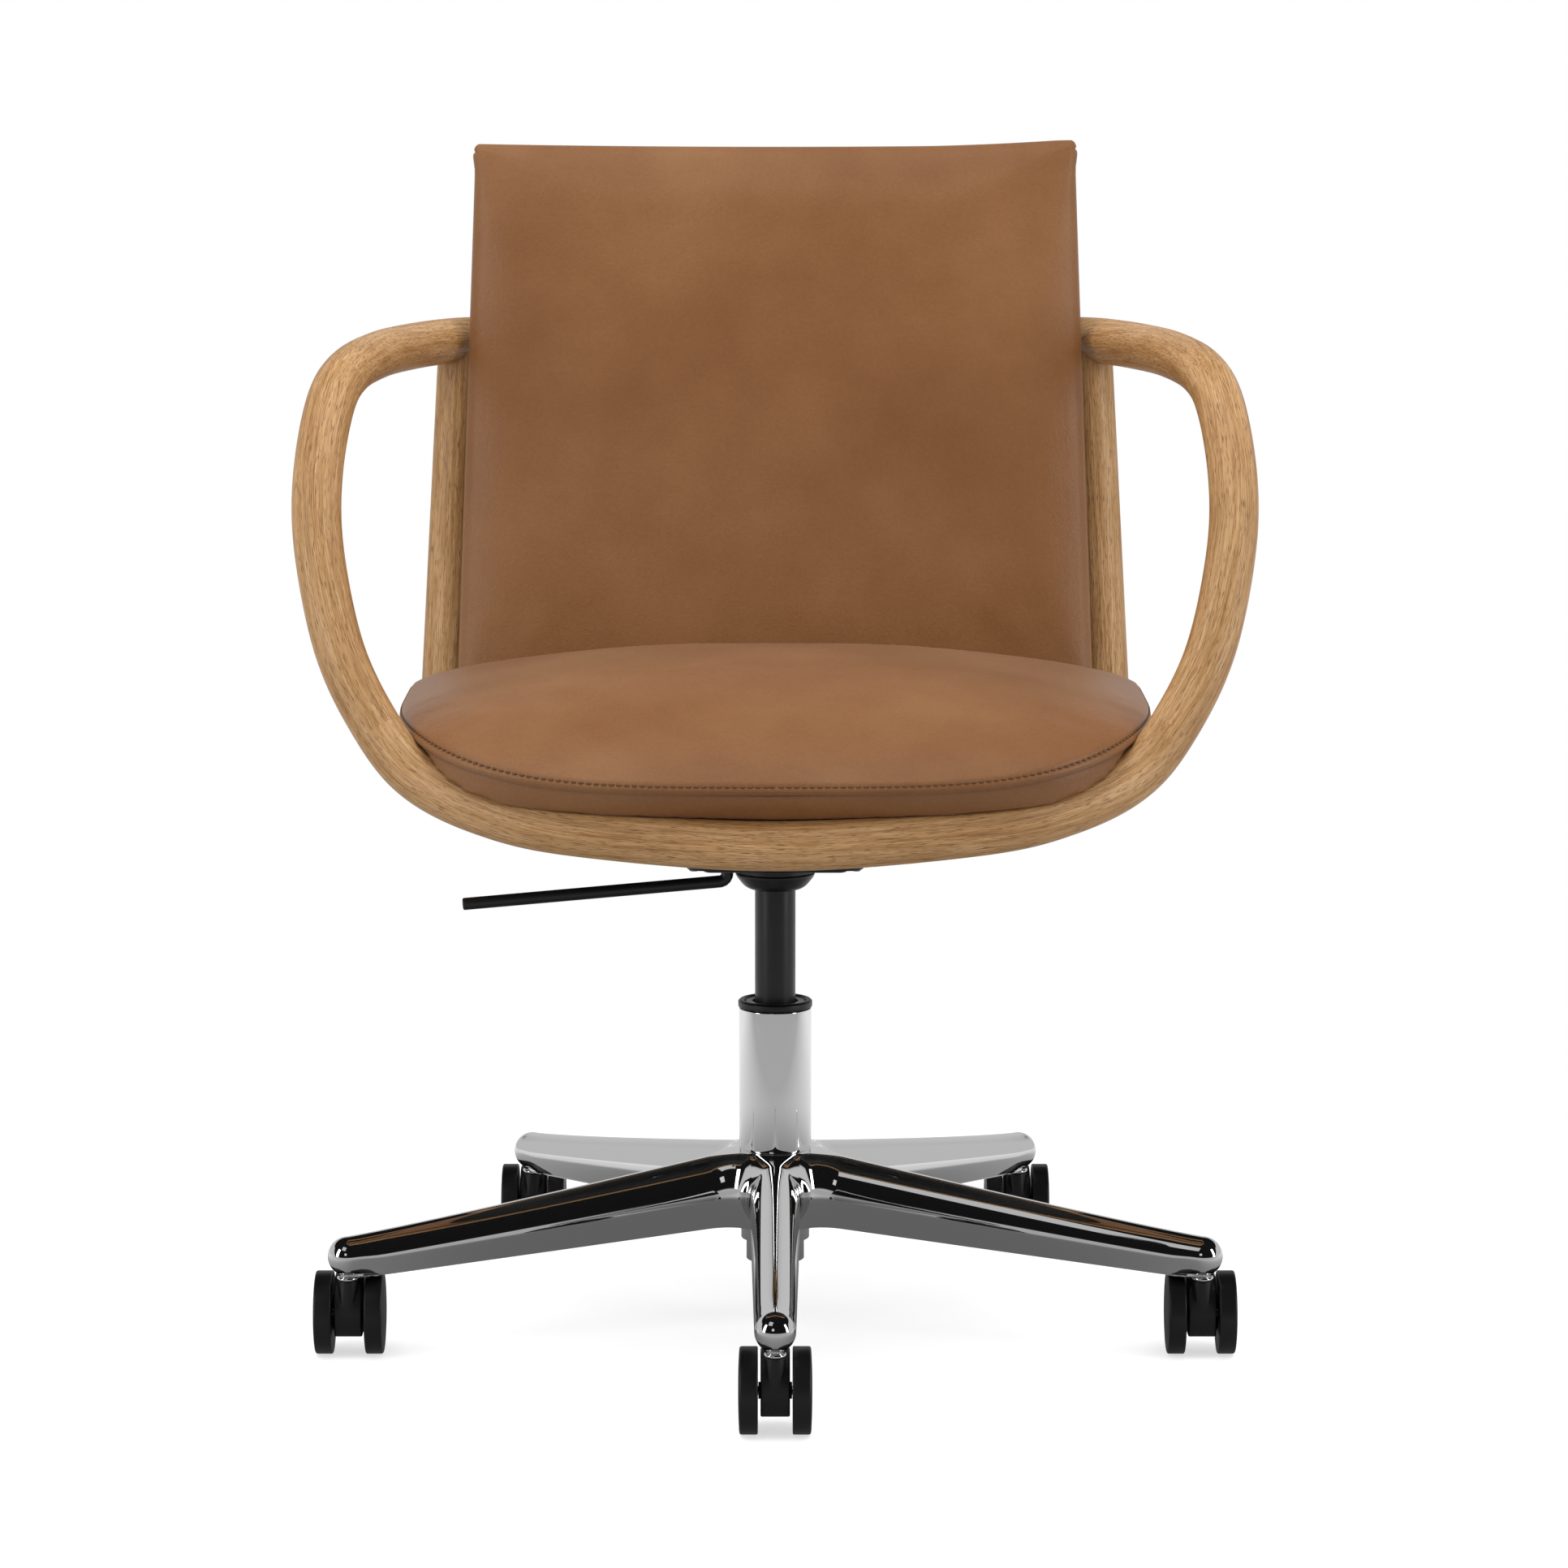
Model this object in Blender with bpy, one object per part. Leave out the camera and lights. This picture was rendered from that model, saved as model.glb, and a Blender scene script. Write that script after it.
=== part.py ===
"""Task chair: an oak loop frame with a leather seat and back, on a height-adjustable
five-star base with twin-wheel casters.

Metres, +Z up, the floor at z = 0 and the column's axis at x = y = 0. The sitter faces -Y.
Every size below is a driving dimension; the pieces are worked out from them.
"""

import math

import bmesh
import bpy
from mathutils import Matrix, Vector

# Clearances
GAP = 0.0003
SLIDE_GAP = 0.0005
PAN_EDGE_GAP = 0.0008

# Casters
CASTER_COUNT = 5
BASE_RADIUS = 0.305
WHEEL_RADIUS = 0.0284
WHEEL_WIDTH = 0.0128
WHEEL_EDGE = 0.0016
WHEEL_DOME = 0.0012
WHEEL_SIDES = 18
CASTER_BODY_WIDTH = 0.019
CASTER_SIDE_GAP = 0.0017
CASTER_TRAIL = 0.0155
CASTER_BODY_LIFT = 0.015
CASTER_BODY_RADIUS = 0.0245
CASTER_BODY_BACK = 0.0022
CASTER_BODY_RISE = 0.0026
CASTER_BODY_POINTS = 13
STEM_RADIUS = 0.0040
STEM_GRIP_RADIUS = 0.0054
STEM_RING_RADIUS = 0.0074
STEM_RING_HEIGHT = 0.0026
STEM_GRIP_DEPTH = 0.022
STEM_DEPTH = 0.019
SOCKET_RADIUS = 0.0066
AXLE_RADIUS = 0.0030
AXLE_BOSS_RADIUS = 0.0055
AXLE_BITE = 0.0085

# Five-star base
LEG_TIP_RADIUS = 0.0135
LEG_TIP_BOTTOM = 0.0575
LEG_ROOT_TOP = 0.1262
LEG_ROOT_BOTTOM = 0.0760
LEG_HALF_WIDTH = 0.0180
LEG_FLARE = 0.0105
LEG_FLARE_REACH = 0.034
LEG_ROOT_RADIUS = 0.030
LEG_WALL = 0.0055
LEG_SIDES = 10
HUB_RADIUS = 0.0330
HUB_UNDERSIDE = 0.0735

# Column
TUBE_RADIUS = 0.0250
TUBE_NECK_RADIUS = 0.0236
TUBE_TIP_RADIUS = 0.0200
TUBE_TOP = 0.2250
TUBE_NECK_BELOW = 0.0105
TUBE_TIP_BELOW = 0.0150
TUBE_FLOOR = 0.0040
TUBE_WALL = 0.0018
BUSH_LENGTH = 0.080
COLLAR_RADIUS = 0.0256
COLLAR_HEIGHT = 0.0056
WASHER_THICKNESS = 0.0012
WASHER_SINK = 0.0014
CYLINDER_RADIUS = 0.0140
CYLINDER_WALL = 0.0022
CYLINDER_BOTTOM = 0.1370
CYLINDER_END = 0.0060
ROD_RADIUS = 0.0050
ROD_END_RADIUS = 0.0038
PISTON_RADIUS = 0.0112
PISTON_HEIGHT = 0.008
PISTON_Z = 0.228
BEARING_RADIUS = 0.0120
BEARING_HEIGHT = 0.0050
CLIP_RADIUS = 0.0080
CLIP_THICKNESS = 0.0012
ROD_TAIL = 0.0010
BUTTON_RADIUS = 0.0040
BUTTON_HEIGHT = 0.0042
BUTTON_DEPTH = 0.0120

# Mounting plate, its hub and the release lever
PLATE_UNDERSIDE = 0.3200
PLATE_HALF_WIDTH = 0.0600
PLATE_HALF_DEPTH = 0.0700
PLATE_HEIGHT = 0.0165
PLATE_CORNER = 0.012
TRAY_INSET = 0.0100
TRAY_HEIGHT = 0.0083
FLANGE_THICKNESS = 0.0052
SHEET = 0.0022
CUP_RADIUS = 0.0275
PLATE_HUB_HEIGHT = 0.0115
PLATE_HUB_FOOT = 0.0180
LEVER_RADIUS = 0.00425
LEVER_DROP_X = 0.0330
LEVER_Y = -0.0060
LEVER_REACH = 0.2150
LEVER_SLOPE = math.radians(5.1)
LEVER_BEND = 0.0055
LEVER_BELOW = 0.0056
LEVER_EYE_RADIUS = 0.0046
LEVER_PIN_RADIUS = 0.0018
LEVER_PIN_LENGTH = 0.026
LEVER_SLOT_GAP = 0.0035
PADDLE_WIDTH = 0.0160
PADDLE_THICKNESS = 0.0030
SCREW_RADIUS = 0.0026
SCREW_HEAD_RADIUS = 0.0042
SCREW_HEAD_HEIGHT = 0.0024
SCREW_BITE = 0.0070

# Oak frame
WOOD_RADIUS = 0.0165
WOOD_SIDES = 12
RING_STEP = 0.030
ARM_REACH = 0.3057
RAIL_FRONT_Y = -0.200
RAIL_Z = 0.3692
ARM_Z = 0.6680
BACK_RAIL_Y = 0.300
POST_LEAN = math.radians(9.0)
POST_SPLAY = 0.0140
POST_FORWARD = 0.0020
REAR_BEND = 0.040
REAR_SPLICE_RISE = 0.012
TENON_RADIUS = 0.0060
TENON_LENGTH = 0.018
PEG_RADIUS = 0.0030

# The loop's centreline on the +X side, from the middle of the front rail to the middle of
# the back rail: shares of the arm's reach, of the depth and of the height
LOOP_SHARES = (
    (0.000, 0.000, 0.000),
    (0.428, 0.022, 0.027),
    (0.630, 0.064, 0.063),
    (0.778, 0.116, 0.127),
    (0.870, 0.148, 0.238),
    (0.947, 0.174, 0.397),
    (0.993, 0.212, 0.607),
    (1.000, 0.250, 0.765),
    (0.981, 0.324, 0.919),
    (0.954, 0.430, 0.981),
    (0.910, 0.610, 1.000),
    (0.857, 0.784, 1.000),
    (0.792, 0.896, 1.000),
    (0.722, 0.950, 1.000),
    (0.520, 0.985, 1.000),
    (0.262, 0.998, 1.000),
    (0.000, 1.000, 1.000),
)
LOWER_SPLICE = 3.7
UPPER_SPLICE = 8.45
REAR_SPLICE = 14.0
POST_STATION = 12.75

# Seat
SEAT_MARGIN = 0.0492
SEAT_MIDDLE_Y = 0.050
SEAM_FRONT_OVERHANG = 0.0220
SEAM_RISE = 0.0415
SEAM_LIFT = 0.015
SEAT_CROWN = 0.055
SEAT_BACK_GAP = 0.004
SEAT_SIDES = 34
PANEL_DRAW_IN = 0.044
PANEL_DRAW_IN_REAR = 0.006
WAIST_OUT = 0.42
WAIST_UP = 0.54
PAN_THICKNESS = 0.010
PAN_FLAT_SHARE = 0.60
SEAT_FRONT_POWER = 2.9
SEAT_REAR_POWER = 4.0

# Back
BACK_TOP = 0.8085
BACK_BOTTOM = 0.4010
BACK_POST_MARGIN = -0.0124
BACK_SPREAD = 0.0135
BACK_EAR = 0.0016
BACK_DIP = 0.0020
BACK_PANEL_THICKNESS = 0.0080
BACK_PANEL_INSET = 0.0045
BACK_PAD_EDGE = 0.0080
BACK_PAD_CROWN = 0.0180
BACK_COLUMNS = 16
BACK_ROWS = 13
BACK_SCREW_RADIUS = 0.0022
BACK_BOSS_SHARES = (0.22, 0.80)
BACK_BOSS_LENGTH = 0.0180
BACK_BOSS_DEPTH = 0.0140
BACK_BOSS_HALF_HEIGHT = 0.0100
BACK_SCREW_BITE = 0.0110


def mix(a, b, share):
    """The value that lies this share of the way from a to b."""
    return a + (b - a) * share


def power(value, exponent):
    """A signed power, as superellipses need."""
    return math.copysign(abs(value) ** exponent, value)


# Mesh helpers

def make_material(name, colour, roughness, metallic=0.0):
    """One Principled material in a plain colour."""
    material = bpy.data.materials.new(name)
    material.use_nodes = True
    shader = material.node_tree.nodes["Principled BSDF"]
    shader.inputs["Base Color"].default_value = (*colour, 1.0)
    shader.inputs["Roughness"].default_value = roughness
    shader.inputs["Metallic"].default_value = metallic
    material.diffuse_color = (*colour, 1.0)
    return material


def add_object(name, mesh, look, origin=(0, 0, 0), sharp=35):
    """Link a bmesh as a named object whose own origin lies at the given point."""
    bmesh.ops.recalc_face_normals(mesh, faces=mesh.faces)
    bmesh.ops.transform(mesh, matrix=Matrix.Translation(-Vector(origin)), verts=mesh.verts)
    data = bpy.data.meshes.new(name)
    mesh.to_mesh(data)
    mesh.free()
    data.shade_smooth()
    data.set_sharp_from_angle(angle=math.radians(sharp))
    thing = bpy.data.objects.new(name, data)
    thing.location = origin
    bpy.context.scene.collection.objects.link(thing)
    data.materials.append(make_material(name, *look))
    return thing


def add_cutter(name, mesh):
    """Link a bmesh as a hidden cutter."""
    thing = add_object(name, mesh, CUTTER_LOOK)
    thing.hide_render = True
    thing.display_type = "WIRE"
    return thing


def boolean(thing, cutter, operation="DIFFERENCE"):
    """Cut or join one object with another, exactly."""
    modifier = thing.modifiers.new(cutter.name, "BOOLEAN")
    modifier.operation = operation
    modifier.solver = "EXACT"
    modifier.object = cutter


def add_loft(mesh, rings, closed=False):
    """Skin rings of equally many points, which run the same way round; cap both ends."""
    rows = [[mesh.verts.new(point) for point in ring] for ring in rings]
    pairs = list(zip(rows, rows[1:]))
    if closed:
        pairs.append((rows[-1], rows[0]))
    for low, high in pairs:
        add_band(mesh, low, high)
    if not closed:
        for row in (rows[0], rows[-1]):
            if len(row) > 2:
                mesh.faces.new(row)
    return mesh


def add_band(mesh, low, high):
    """The faces between two rows of points, either of which may be a single point."""
    count = max(len(low), len(high))
    for i in range(count):
        j = (i + 1) % count
        if len(low) == 1:
            mesh.faces.new((low[0], high[i], high[j]))
        elif len(high) == 1:
            mesh.faces.new((low[i], low[j], high[0]))
        else:
            mesh.faces.new((low[i], low[j], high[j], high[i]))


def add_turned(mesh, profile, sides, place=Matrix(), phase=0.0, closed=True):
    """Turn a profile of (radius, height) points about Z, then put it in its place.

    A closed profile runs round a hollow; an open one starts and ends on the axis.
    """
    rings = []
    for radius, height in profile:
        if radius == 0:
            rings.append([place @ Vector((0, 0, height))])
            continue
        angles = [phase + math.tau * i / sides for i in range(sides)]
        ring = [Vector((radius * math.cos(a), radius * math.sin(a), height)) for a in angles]
        rings.append([place @ point for point in ring])
    return add_loft(mesh, rings, closed)


def add_rod(mesh, start, end, radius, sides=12):
    """A round bar between two points."""
    start, end = Vector(start), Vector(end)
    turn = (end - start).to_track_quat("Z", "Y").to_matrix().to_4x4()
    place = Matrix.Translation(start) @ turn
    length = (end - start).length
    return add_turned(mesh, [(radius, 0), (radius, length)], sides, place, closed=False)


def flat_to_flat(radius, sides):
    """The corner radius of a polygon whose flats lie at the given radius."""
    return radius / math.cos(math.pi / sides)


def add_bored(mesh, outer, inner, low, high, sides):
    """A plain sleeve about the column's axis."""
    return add_turned(mesh, [(inner, low), (outer, low), (outer, high), (inner, high)], sides)


def curve_point(points, station):
    """A point of the smooth curve through the given points (uniform Catmull-Rom)."""
    last = len(points) - 1
    i = min(int(station), last - 1)
    t = station - i
    before = points[i - 1] if i > 0 else mirror_end(points[0], points[1])
    after = points[i + 2] if i + 2 <= last else mirror_end(points[last], points[last - 1])
    a, b = points[i], points[i + 1]
    return 0.5 * (
        2 * a
        + (b - before) * t
        + (2 * before - 5 * a + 4 * b - after) * t * t
        + (3 * a - before - 3 * b + after) * t * t * t
    )


def mirror_end(end, neighbour):
    """The neighbour's image across the chair's middle plane, at a point on that plane."""
    return Vector((2 * end.x - neighbour.x, neighbour.y, neighbour.z))


def sample_stations(points, start, stop, step):
    """Stations at about even spacing along a curve, both ends included."""
    fine = 400
    stations = [mix(start, stop, i / fine) for i in range(fine + 1)]
    places = [curve_point(points, s) for s in stations]
    run = [0.0]
    for a, b in zip(places, places[1:]):
        run.append(run[-1] + (b - a).length)
    count = max(2, round(run[-1] / step))
    picked = []
    k = 0
    for i in range(count + 1):
        target = run[-1] * i / count
        while k < fine and run[k] < target - 1e-9:
            k += 1
        picked.append(stations[k])
    return picked


def sweep_rings(places, directions, radius, sides):
    """Round sections square to a path, carried along it without twisting."""
    rings = []
    side = directions[0].orthogonal().normalized()
    if abs(directions[0].z) < 0.9:
        side = directions[0].cross(Vector((0, 0, 1))).normalized()
    for place, direction in zip(places, directions):
        side = (side - direction * side.dot(direction)).normalized()
        other = direction.cross(side)
        ring = []
        for i in range(sides):
            angle = math.tau * (i + 0.5) / sides
            ring.append(place + radius * (math.cos(angle) * side + math.sin(angle) * other))
        rings.append(ring)
    return rings


def path_directions(places):
    """The direction of travel at each point of a path."""
    ends = [places[0]] + list(places) + [places[-1]]
    return [(b - a).normalized() for a, b in zip(ends, ends[2:])]


# Shared places, worked out once

TIP_CENTRE_Z = LEG_TIP_BOTTOM + LEG_TIP_RADIUS
LEG_TIP_TOP = LEG_TIP_BOTTOM + 2 * LEG_TIP_RADIUS
TUBE_BOTTOM = HUB_UNDERSIDE - TUBE_NECK_BELOW - TUBE_TIP_BELOW
TUBE_SEAT_Z = LEG_ROOT_TOP + GAP
TUBE_BORE = TUBE_NECK_RADIUS - TUBE_WALL
CYLINDER_BORE = CYLINDER_RADIUS - CYLINDER_WALL
COLLAR_Z = TUBE_TOP + GAP
PLATE_HUB_BOTTOM = PLATE_UNDERSIDE - PLATE_HUB_HEIGHT
CYLINDER_TOP = PLATE_UNDERSIDE + SHEET
PLATE_TOP = PLATE_UNDERSIDE + PLATE_HEIGHT
PAN_BOTTOM = PLATE_TOP + GAP
PAN_FLOOR = PAN_BOTTOM + PAN_THICKNESS
PAN_RIM_TOP = RAIL_Z + PAN_THICKNESS / 2
SEAT_HALF_WIDTH = ARM_REACH - SEAT_MARGIN
SEAM_FRONT_Y = RAIL_FRONT_Y - SEAM_FRONT_OVERHANG
SEAM_Z = RAIL_Z + SEAM_RISE
STEM_TOP = LEG_TIP_BOTTOM - GAP + STEM_GRIP_DEPTH
SOCKET_TOP = LEG_TIP_BOTTOM - 2 * GAP - STEM_RING_HEIGHT
CASTER_ANGLES = [math.radians(-90 + 360 * i / CASTER_COUNT) for i in range(CASTER_COUNT)]
CASTER_PLACES = [
    Vector((BASE_RADIUS * math.cos(a), BASE_RADIUS * math.sin(a), 0)) for a in CASTER_ANGLES
]

LOOP = [
    Vector((
        ARM_REACH * across,
        mix(RAIL_FRONT_Y, BACK_RAIL_Y, back),
        mix(RAIL_Z, ARM_Z, up),
    ))
    for across, back, up in LOOP_SHARES
]
POST_TOP = curve_point(LOOP, POST_STATION) - Vector((0, POST_FORWARD, WOOD_RADIUS * 0.72))
POST_FALL = POST_TOP.z - RAIL_Z
REAR_RAIL_Y = POST_TOP.y - POST_FALL * math.tan(POST_LEAN)
POST_FOOT_X = POST_TOP.x + POST_SPLAY


def post_axis(z):
    """The post's centre at a height, on the +X side."""
    share = (POST_TOP.z - z) / POST_FALL
    return Vector((mix(POST_TOP.x, POST_FOOT_X, share), mix(POST_TOP.y, REAR_RAIL_Y, share), z))


def back_plane_y(z):
    """Where the back panel's rear face lies at a height: against the fronts of the posts."""
    return post_axis(z).y - WOOD_RADIUS / math.cos(POST_LEAN) - GAP


SEAT_REAR_Y = (
    back_plane_y(SEAM_Z) - BACK_PANEL_THICKNESS - BACK_PAD_EDGE - BACK_PAD_CROWN - SEAT_BACK_GAP
)

# Looks: colour, roughness, metallic
CUTTER_LOOK = ((0.8, 0.1, 0.1), 0.5)
OAK = ((0.48, 0.29, 0.14), 0.45)
LEATHER = ((0.33, 0.16, 0.065), 0.42)
CHROME = ((0.80, 0.80, 0.81), 0.08, 1.0)
POLISHED = ((0.72, 0.72, 0.73), 0.10, 1.0)
STEEL = ((0.55, 0.55, 0.56), 0.25, 1.0)
BLACK_METAL = ((0.015, 0.015, 0.016), 0.40, 0.3)
BLACK_PLASTIC = ((0.018, 0.018, 0.020), 0.45)
GREY_PLASTIC = ((0.20, 0.20, 0.21), 0.40)
BOARD = ((0.10, 0.08, 0.06), 0.60)


# Casters

def build_caster_stem(name, place):
    """Grip stem: a pin up into the leg's tip, a chrome ring, and a pin into the housing."""
    low = SOCKET_TOP - STEM_DEPTH
    ring_low = LEG_TIP_BOTTOM - GAP - STEM_RING_HEIGHT
    ring_high = LEG_TIP_BOTTOM - GAP
    soft = STEM_RING_HEIGHT * 0.3
    profile = [
        (0, low),
        (STEM_RADIUS, low),
        (STEM_RADIUS, ring_low),
        (STEM_RING_RADIUS - soft, ring_low),
        (STEM_RING_RADIUS, ring_low + soft),
        (STEM_RING_RADIUS, ring_high - soft),
        (STEM_RING_RADIUS - soft, ring_high),
        (STEM_GRIP_RADIUS, ring_high),
        (STEM_GRIP_RADIUS, STEM_TOP),
        (0, STEM_TOP),
    ]
    mesh = add_turned(bmesh.new(), profile, 12, Matrix.Translation(place), closed=False)
    return add_object(name, mesh, CHROME, origin=place)


def build_caster_housing(name, place):
    """The body between the wheels: a drum cut flat below, the stem's socket and axle bosses."""
    half = CASTER_BODY_WIDTH / 2
    soft = 0.0012
    middle_y = CASTER_TRAIL + CASTER_BODY_BACK
    middle_z = WHEEL_RADIUS + CASTER_BODY_RISE
    dip = math.asin((middle_z - CASTER_BODY_LIFT) / CASTER_BODY_RADIUS)
    step = (math.pi + 2 * dip) / (CASTER_BODY_POINTS - 1)
    outline = [
        (
            middle_y + CASTER_BODY_RADIUS * math.cos(number * step - dip),
            middle_z + CASTER_BODY_RADIUS * math.sin(number * step - dip),
        )
        for number in range(CASTER_BODY_POINTS)
    ]
    centre = Vector((0, CASTER_TRAIL, WHEEL_RADIUS))
    rings = []
    for x, inset in ((-half, soft), (-half + soft, 0), (half - soft, 0), (half, soft)):
        ring = []
        for y, z in outline:
            away = (Vector((0, y, z)) - centre).normalized()
            ring.append(place + Vector((x, y, z)) - away * inset)
        rings.append(ring)
    housing = add_object(name, add_loft(bmesh.new(), rings), BLACK_PLASTIC, origin=place)

    socket = bmesh.new()
    add_turned(
        socket,
        [(0, middle_z), (SOCKET_RADIUS, middle_z), (SOCKET_RADIUS, SOCKET_TOP), (0, SOCKET_TOP)],
        14,
        Matrix.Translation(place),
        closed=False,
    )
    boolean(housing, add_cutter(name + "_socket", socket), "UNION")

    reach = half + CASTER_SIDE_GAP - GAP
    axle = place + centre
    boss = add_rod(
        bmesh.new(), axle - Vector((reach, 0, 0)), axle + Vector((reach, 0, 0)), AXLE_BOSS_RADIUS
    )
    boolean(housing, add_cutter(name + "_boss", boss), "UNION")

    holes = bmesh.new()
    past = Vector((reach + 0.002, 0, 0))
    add_rod(holes, axle - past, axle + past, AXLE_RADIUS + GAP)
    drill_low = place + Vector((0, 0, SOCKET_TOP - STEM_DEPTH - GAP))
    add_rod(holes, drill_low, place + Vector((0, 0, SOCKET_TOP + 0.01)), STEM_RADIUS + GAP)
    boolean(housing, add_cutter(name + "_holes", holes))
    return housing


def build_caster_axle(name, centre):
    """A plain pin from wheel to wheel."""
    reach = Vector((CASTER_BODY_WIDTH / 2 + CASTER_SIDE_GAP + AXLE_BITE, 0, 0))
    mesh = add_rod(bmesh.new(), centre - reach, centre + reach, AXLE_RADIUS)
    return add_object(name, mesh, STEEL, origin=centre)


def build_wheel(name, centre, side):
    """A turned wheel with a soft rim and a shallow domed outer face; the axle's hole is blind."""
    inner = CASTER_BODY_WIDTH / 2 + CASTER_SIDE_GAP
    outer = inner + WHEEL_WIDTH
    hole_end = inner + AXLE_BITE + GAP
    shoulder = outer - WHEEL_DOME
    rim = flat_to_flat(WHEEL_RADIUS, WHEEL_SIDES)
    profile = [
        (0, hole_end),
        (AXLE_RADIUS + GAP, hole_end),
        (AXLE_RADIUS + GAP, inner),
        (rim - WHEEL_EDGE, inner),
        (rim, inner + WHEEL_EDGE),
        (rim, shoulder - WHEEL_EDGE),
        (rim - WHEEL_EDGE, shoulder),
        (rim / 2, outer - WHEEL_DOME / 4),
        (0, outer),
    ]
    turn = Matrix.Rotation(math.radians(90 * side), 4, "Y")
    place = Matrix.Translation(centre) @ turn
    mesh = add_turned(
        bmesh.new(), profile, WHEEL_SIDES, place, phase=math.pi / WHEEL_SIDES, closed=False
    )
    return add_object(name, mesh, BLACK_PLASTIC, origin=centre)


def build_casters():
    """Five twin-wheel casters, all trailing towards the chair's back."""
    for number, foot in enumerate(CASTER_PLACES, start=1):
        name = f"caster_{number}"
        axle = foot + Vector((0, CASTER_TRAIL, WHEEL_RADIUS))
        build_caster_stem(f"{name}_stem", foot)
        build_caster_housing(f"{name}_housing", foot)
        build_caster_axle(f"{name}_axle", axle)
        build_wheel(f"{name}_wheel_left", axle, 1)
        build_wheel(f"{name}_wheel_right", axle, -1)


# Five-star base

def leg_share(r):
    """How far in from the tip a place along the leg lies: 0 at the stem, 1 at the hub."""
    return min(1.0, max(0.0, (BASE_RADIUS - r) / (BASE_RADIUS - LEG_ROOT_RADIUS)))


def leg_top(r):
    return mix(LEG_TIP_TOP, LEG_ROOT_TOP, leg_share(r) ** 1.1)


def leg_bottom(r):
    return mix(LEG_TIP_BOTTOM, LEG_ROOT_BOTTOM, leg_share(r))


def leg_half_width(r):
    """The leg widens towards the hub and flares into its neighbours there."""
    flare = LEG_FLARE * max(0.0, 1 - (r - LEG_ROOT_RADIUS) / LEG_FLARE_REACH) ** 2
    return mix(LEG_TIP_RADIUS, LEG_HALF_WIDTH, leg_share(r) ** 0.8) + flare


def leg_ring(r, angle, shrink=1.0):
    """One section of a leg: round on top, fuller below, with its widest line low down."""
    low, high, half = leg_bottom(r), leg_top(r), leg_half_width(r)
    share = leg_share(r)
    waist = mix(low, high, mix(0.5, 0.36, min(1.0, share * 3)))
    fullness = mix(2.0, 3.0, min(1.0, share * 3))
    out = Vector((math.cos(angle), math.sin(angle), 0))
    across = Vector((-math.sin(angle), math.cos(angle), 0))
    middle = out * r + Vector((0, 0, mix(waist, (low + high) / 2, 1 - shrink)))
    ring = []
    for i in range(LEG_SIDES):
        t = math.tau * i / LEG_SIDES
        c, s = math.cos(t), math.sin(t)
        if s >= 0:
            side, rise = half * power(c, 0.94), (high - waist) * s
        else:
            side = half * power(c, 2 / fullness)
            rise = (waist - low) * power(s, 2 / fullness)
        ring.append(middle + shrink * (across * side + Vector((0, 0, rise))))
    return ring


def add_leg(mesh, angle):
    """A leg from inside the hub to its ball-shaped tip."""
    radii = [0.006, 0.020, 0.030, 0.038, 0.048, 0.064]
    radii += [mix(0.064, BASE_RADIUS, i / 5) for i in range(1, 6)]
    rings = [leg_ring(r, angle) for r in radii]
    for turn in (25, 50, 72):
        a = math.radians(turn)
        rings.append([
            point + Vector((math.cos(angle), math.sin(angle), 0)) * LEG_TIP_RADIUS * math.sin(a)
            for point in leg_ring(BASE_RADIUS, angle, math.cos(a))
        ])
    tip = BASE_RADIUS + LEG_TIP_RADIUS
    rings.append([Vector((tip * math.cos(angle), tip * math.sin(angle), TIP_CENTRE_Z))])
    return add_loft(mesh, rings)


def add_leg_channel(mesh, angle):
    """The hollow in a cast leg's underside, which leaves a wall all round."""
    out = Vector((math.cos(angle), math.sin(angle), 0))
    across = Vector((-math.sin(angle), math.cos(angle), 0))
    start = HUB_RADIUS + 3 * LEG_WALL
    stop = BASE_RADIUS - STEM_GRIP_RADIUS - 2 * LEG_WALL
    rings = []
    for i in range(3):
        r = mix(start, stop, i / 2)
        half = leg_half_width(r) - LEG_WALL
        low, high = leg_bottom(r) - 0.01, leg_top(r) - LEG_WALL
        corners = [
            (-half, low), (half, low), (half * 0.9, mix(low, high, 0.75)),
            (half * 0.5, high), (-half * 0.5, high), (-half * 0.9, mix(low, high, 0.75)),
        ]
        rings.append([out * r + across * side + Vector((0, 0, z)) for side, z in corners])
    return add_loft(mesh, rings)


def build_base_star():
    """Cast hub and five legs in one piece, bored for the column and the caster stems."""
    hub = bmesh.new()
    soft = 0.003
    profile = [
        (0, HUB_UNDERSIDE),
        (HUB_RADIUS - soft, HUB_UNDERSIDE),
        (HUB_RADIUS, HUB_UNDERSIDE + soft),
        (HUB_RADIUS, LEG_ROOT_TOP - 2 * soft),
        (TUBE_RADIUS + soft / 2, LEG_ROOT_TOP),
        (0, LEG_ROOT_TOP),
    ]
    add_turned(hub, profile, 24, closed=False)
    star = add_object("base_star", hub, POLISHED)
    for number, angle in enumerate(CASTER_ANGLES, start=1):
        leg = add_cutter(f"base_leg_{number}", add_leg(bmesh.new(), angle))
        boolean(star, leg, "UNION")

    hollows = bmesh.new()
    for angle, foot in zip(CASTER_ANGLES, CASTER_PLACES):
        add_leg_channel(hollows, angle)
        bottom = foot + Vector((0, 0, LEG_TIP_BOTTOM - 0.01))
        top = foot + Vector((0, 0, STEM_TOP + GAP))
        add_rod(hollows, bottom, top, STEM_GRIP_RADIUS + GAP)
    below = Vector((0, 0, HUB_UNDERSIDE - 0.01))
    above = Vector((0, 0, LEG_ROOT_TOP + 0.01))
    add_rod(hollows, below, above, TUBE_NECK_RADIUS + GAP, 24)
    boolean(star, add_cutter("base_hollows", hollows))
    return star


# Column

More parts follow.
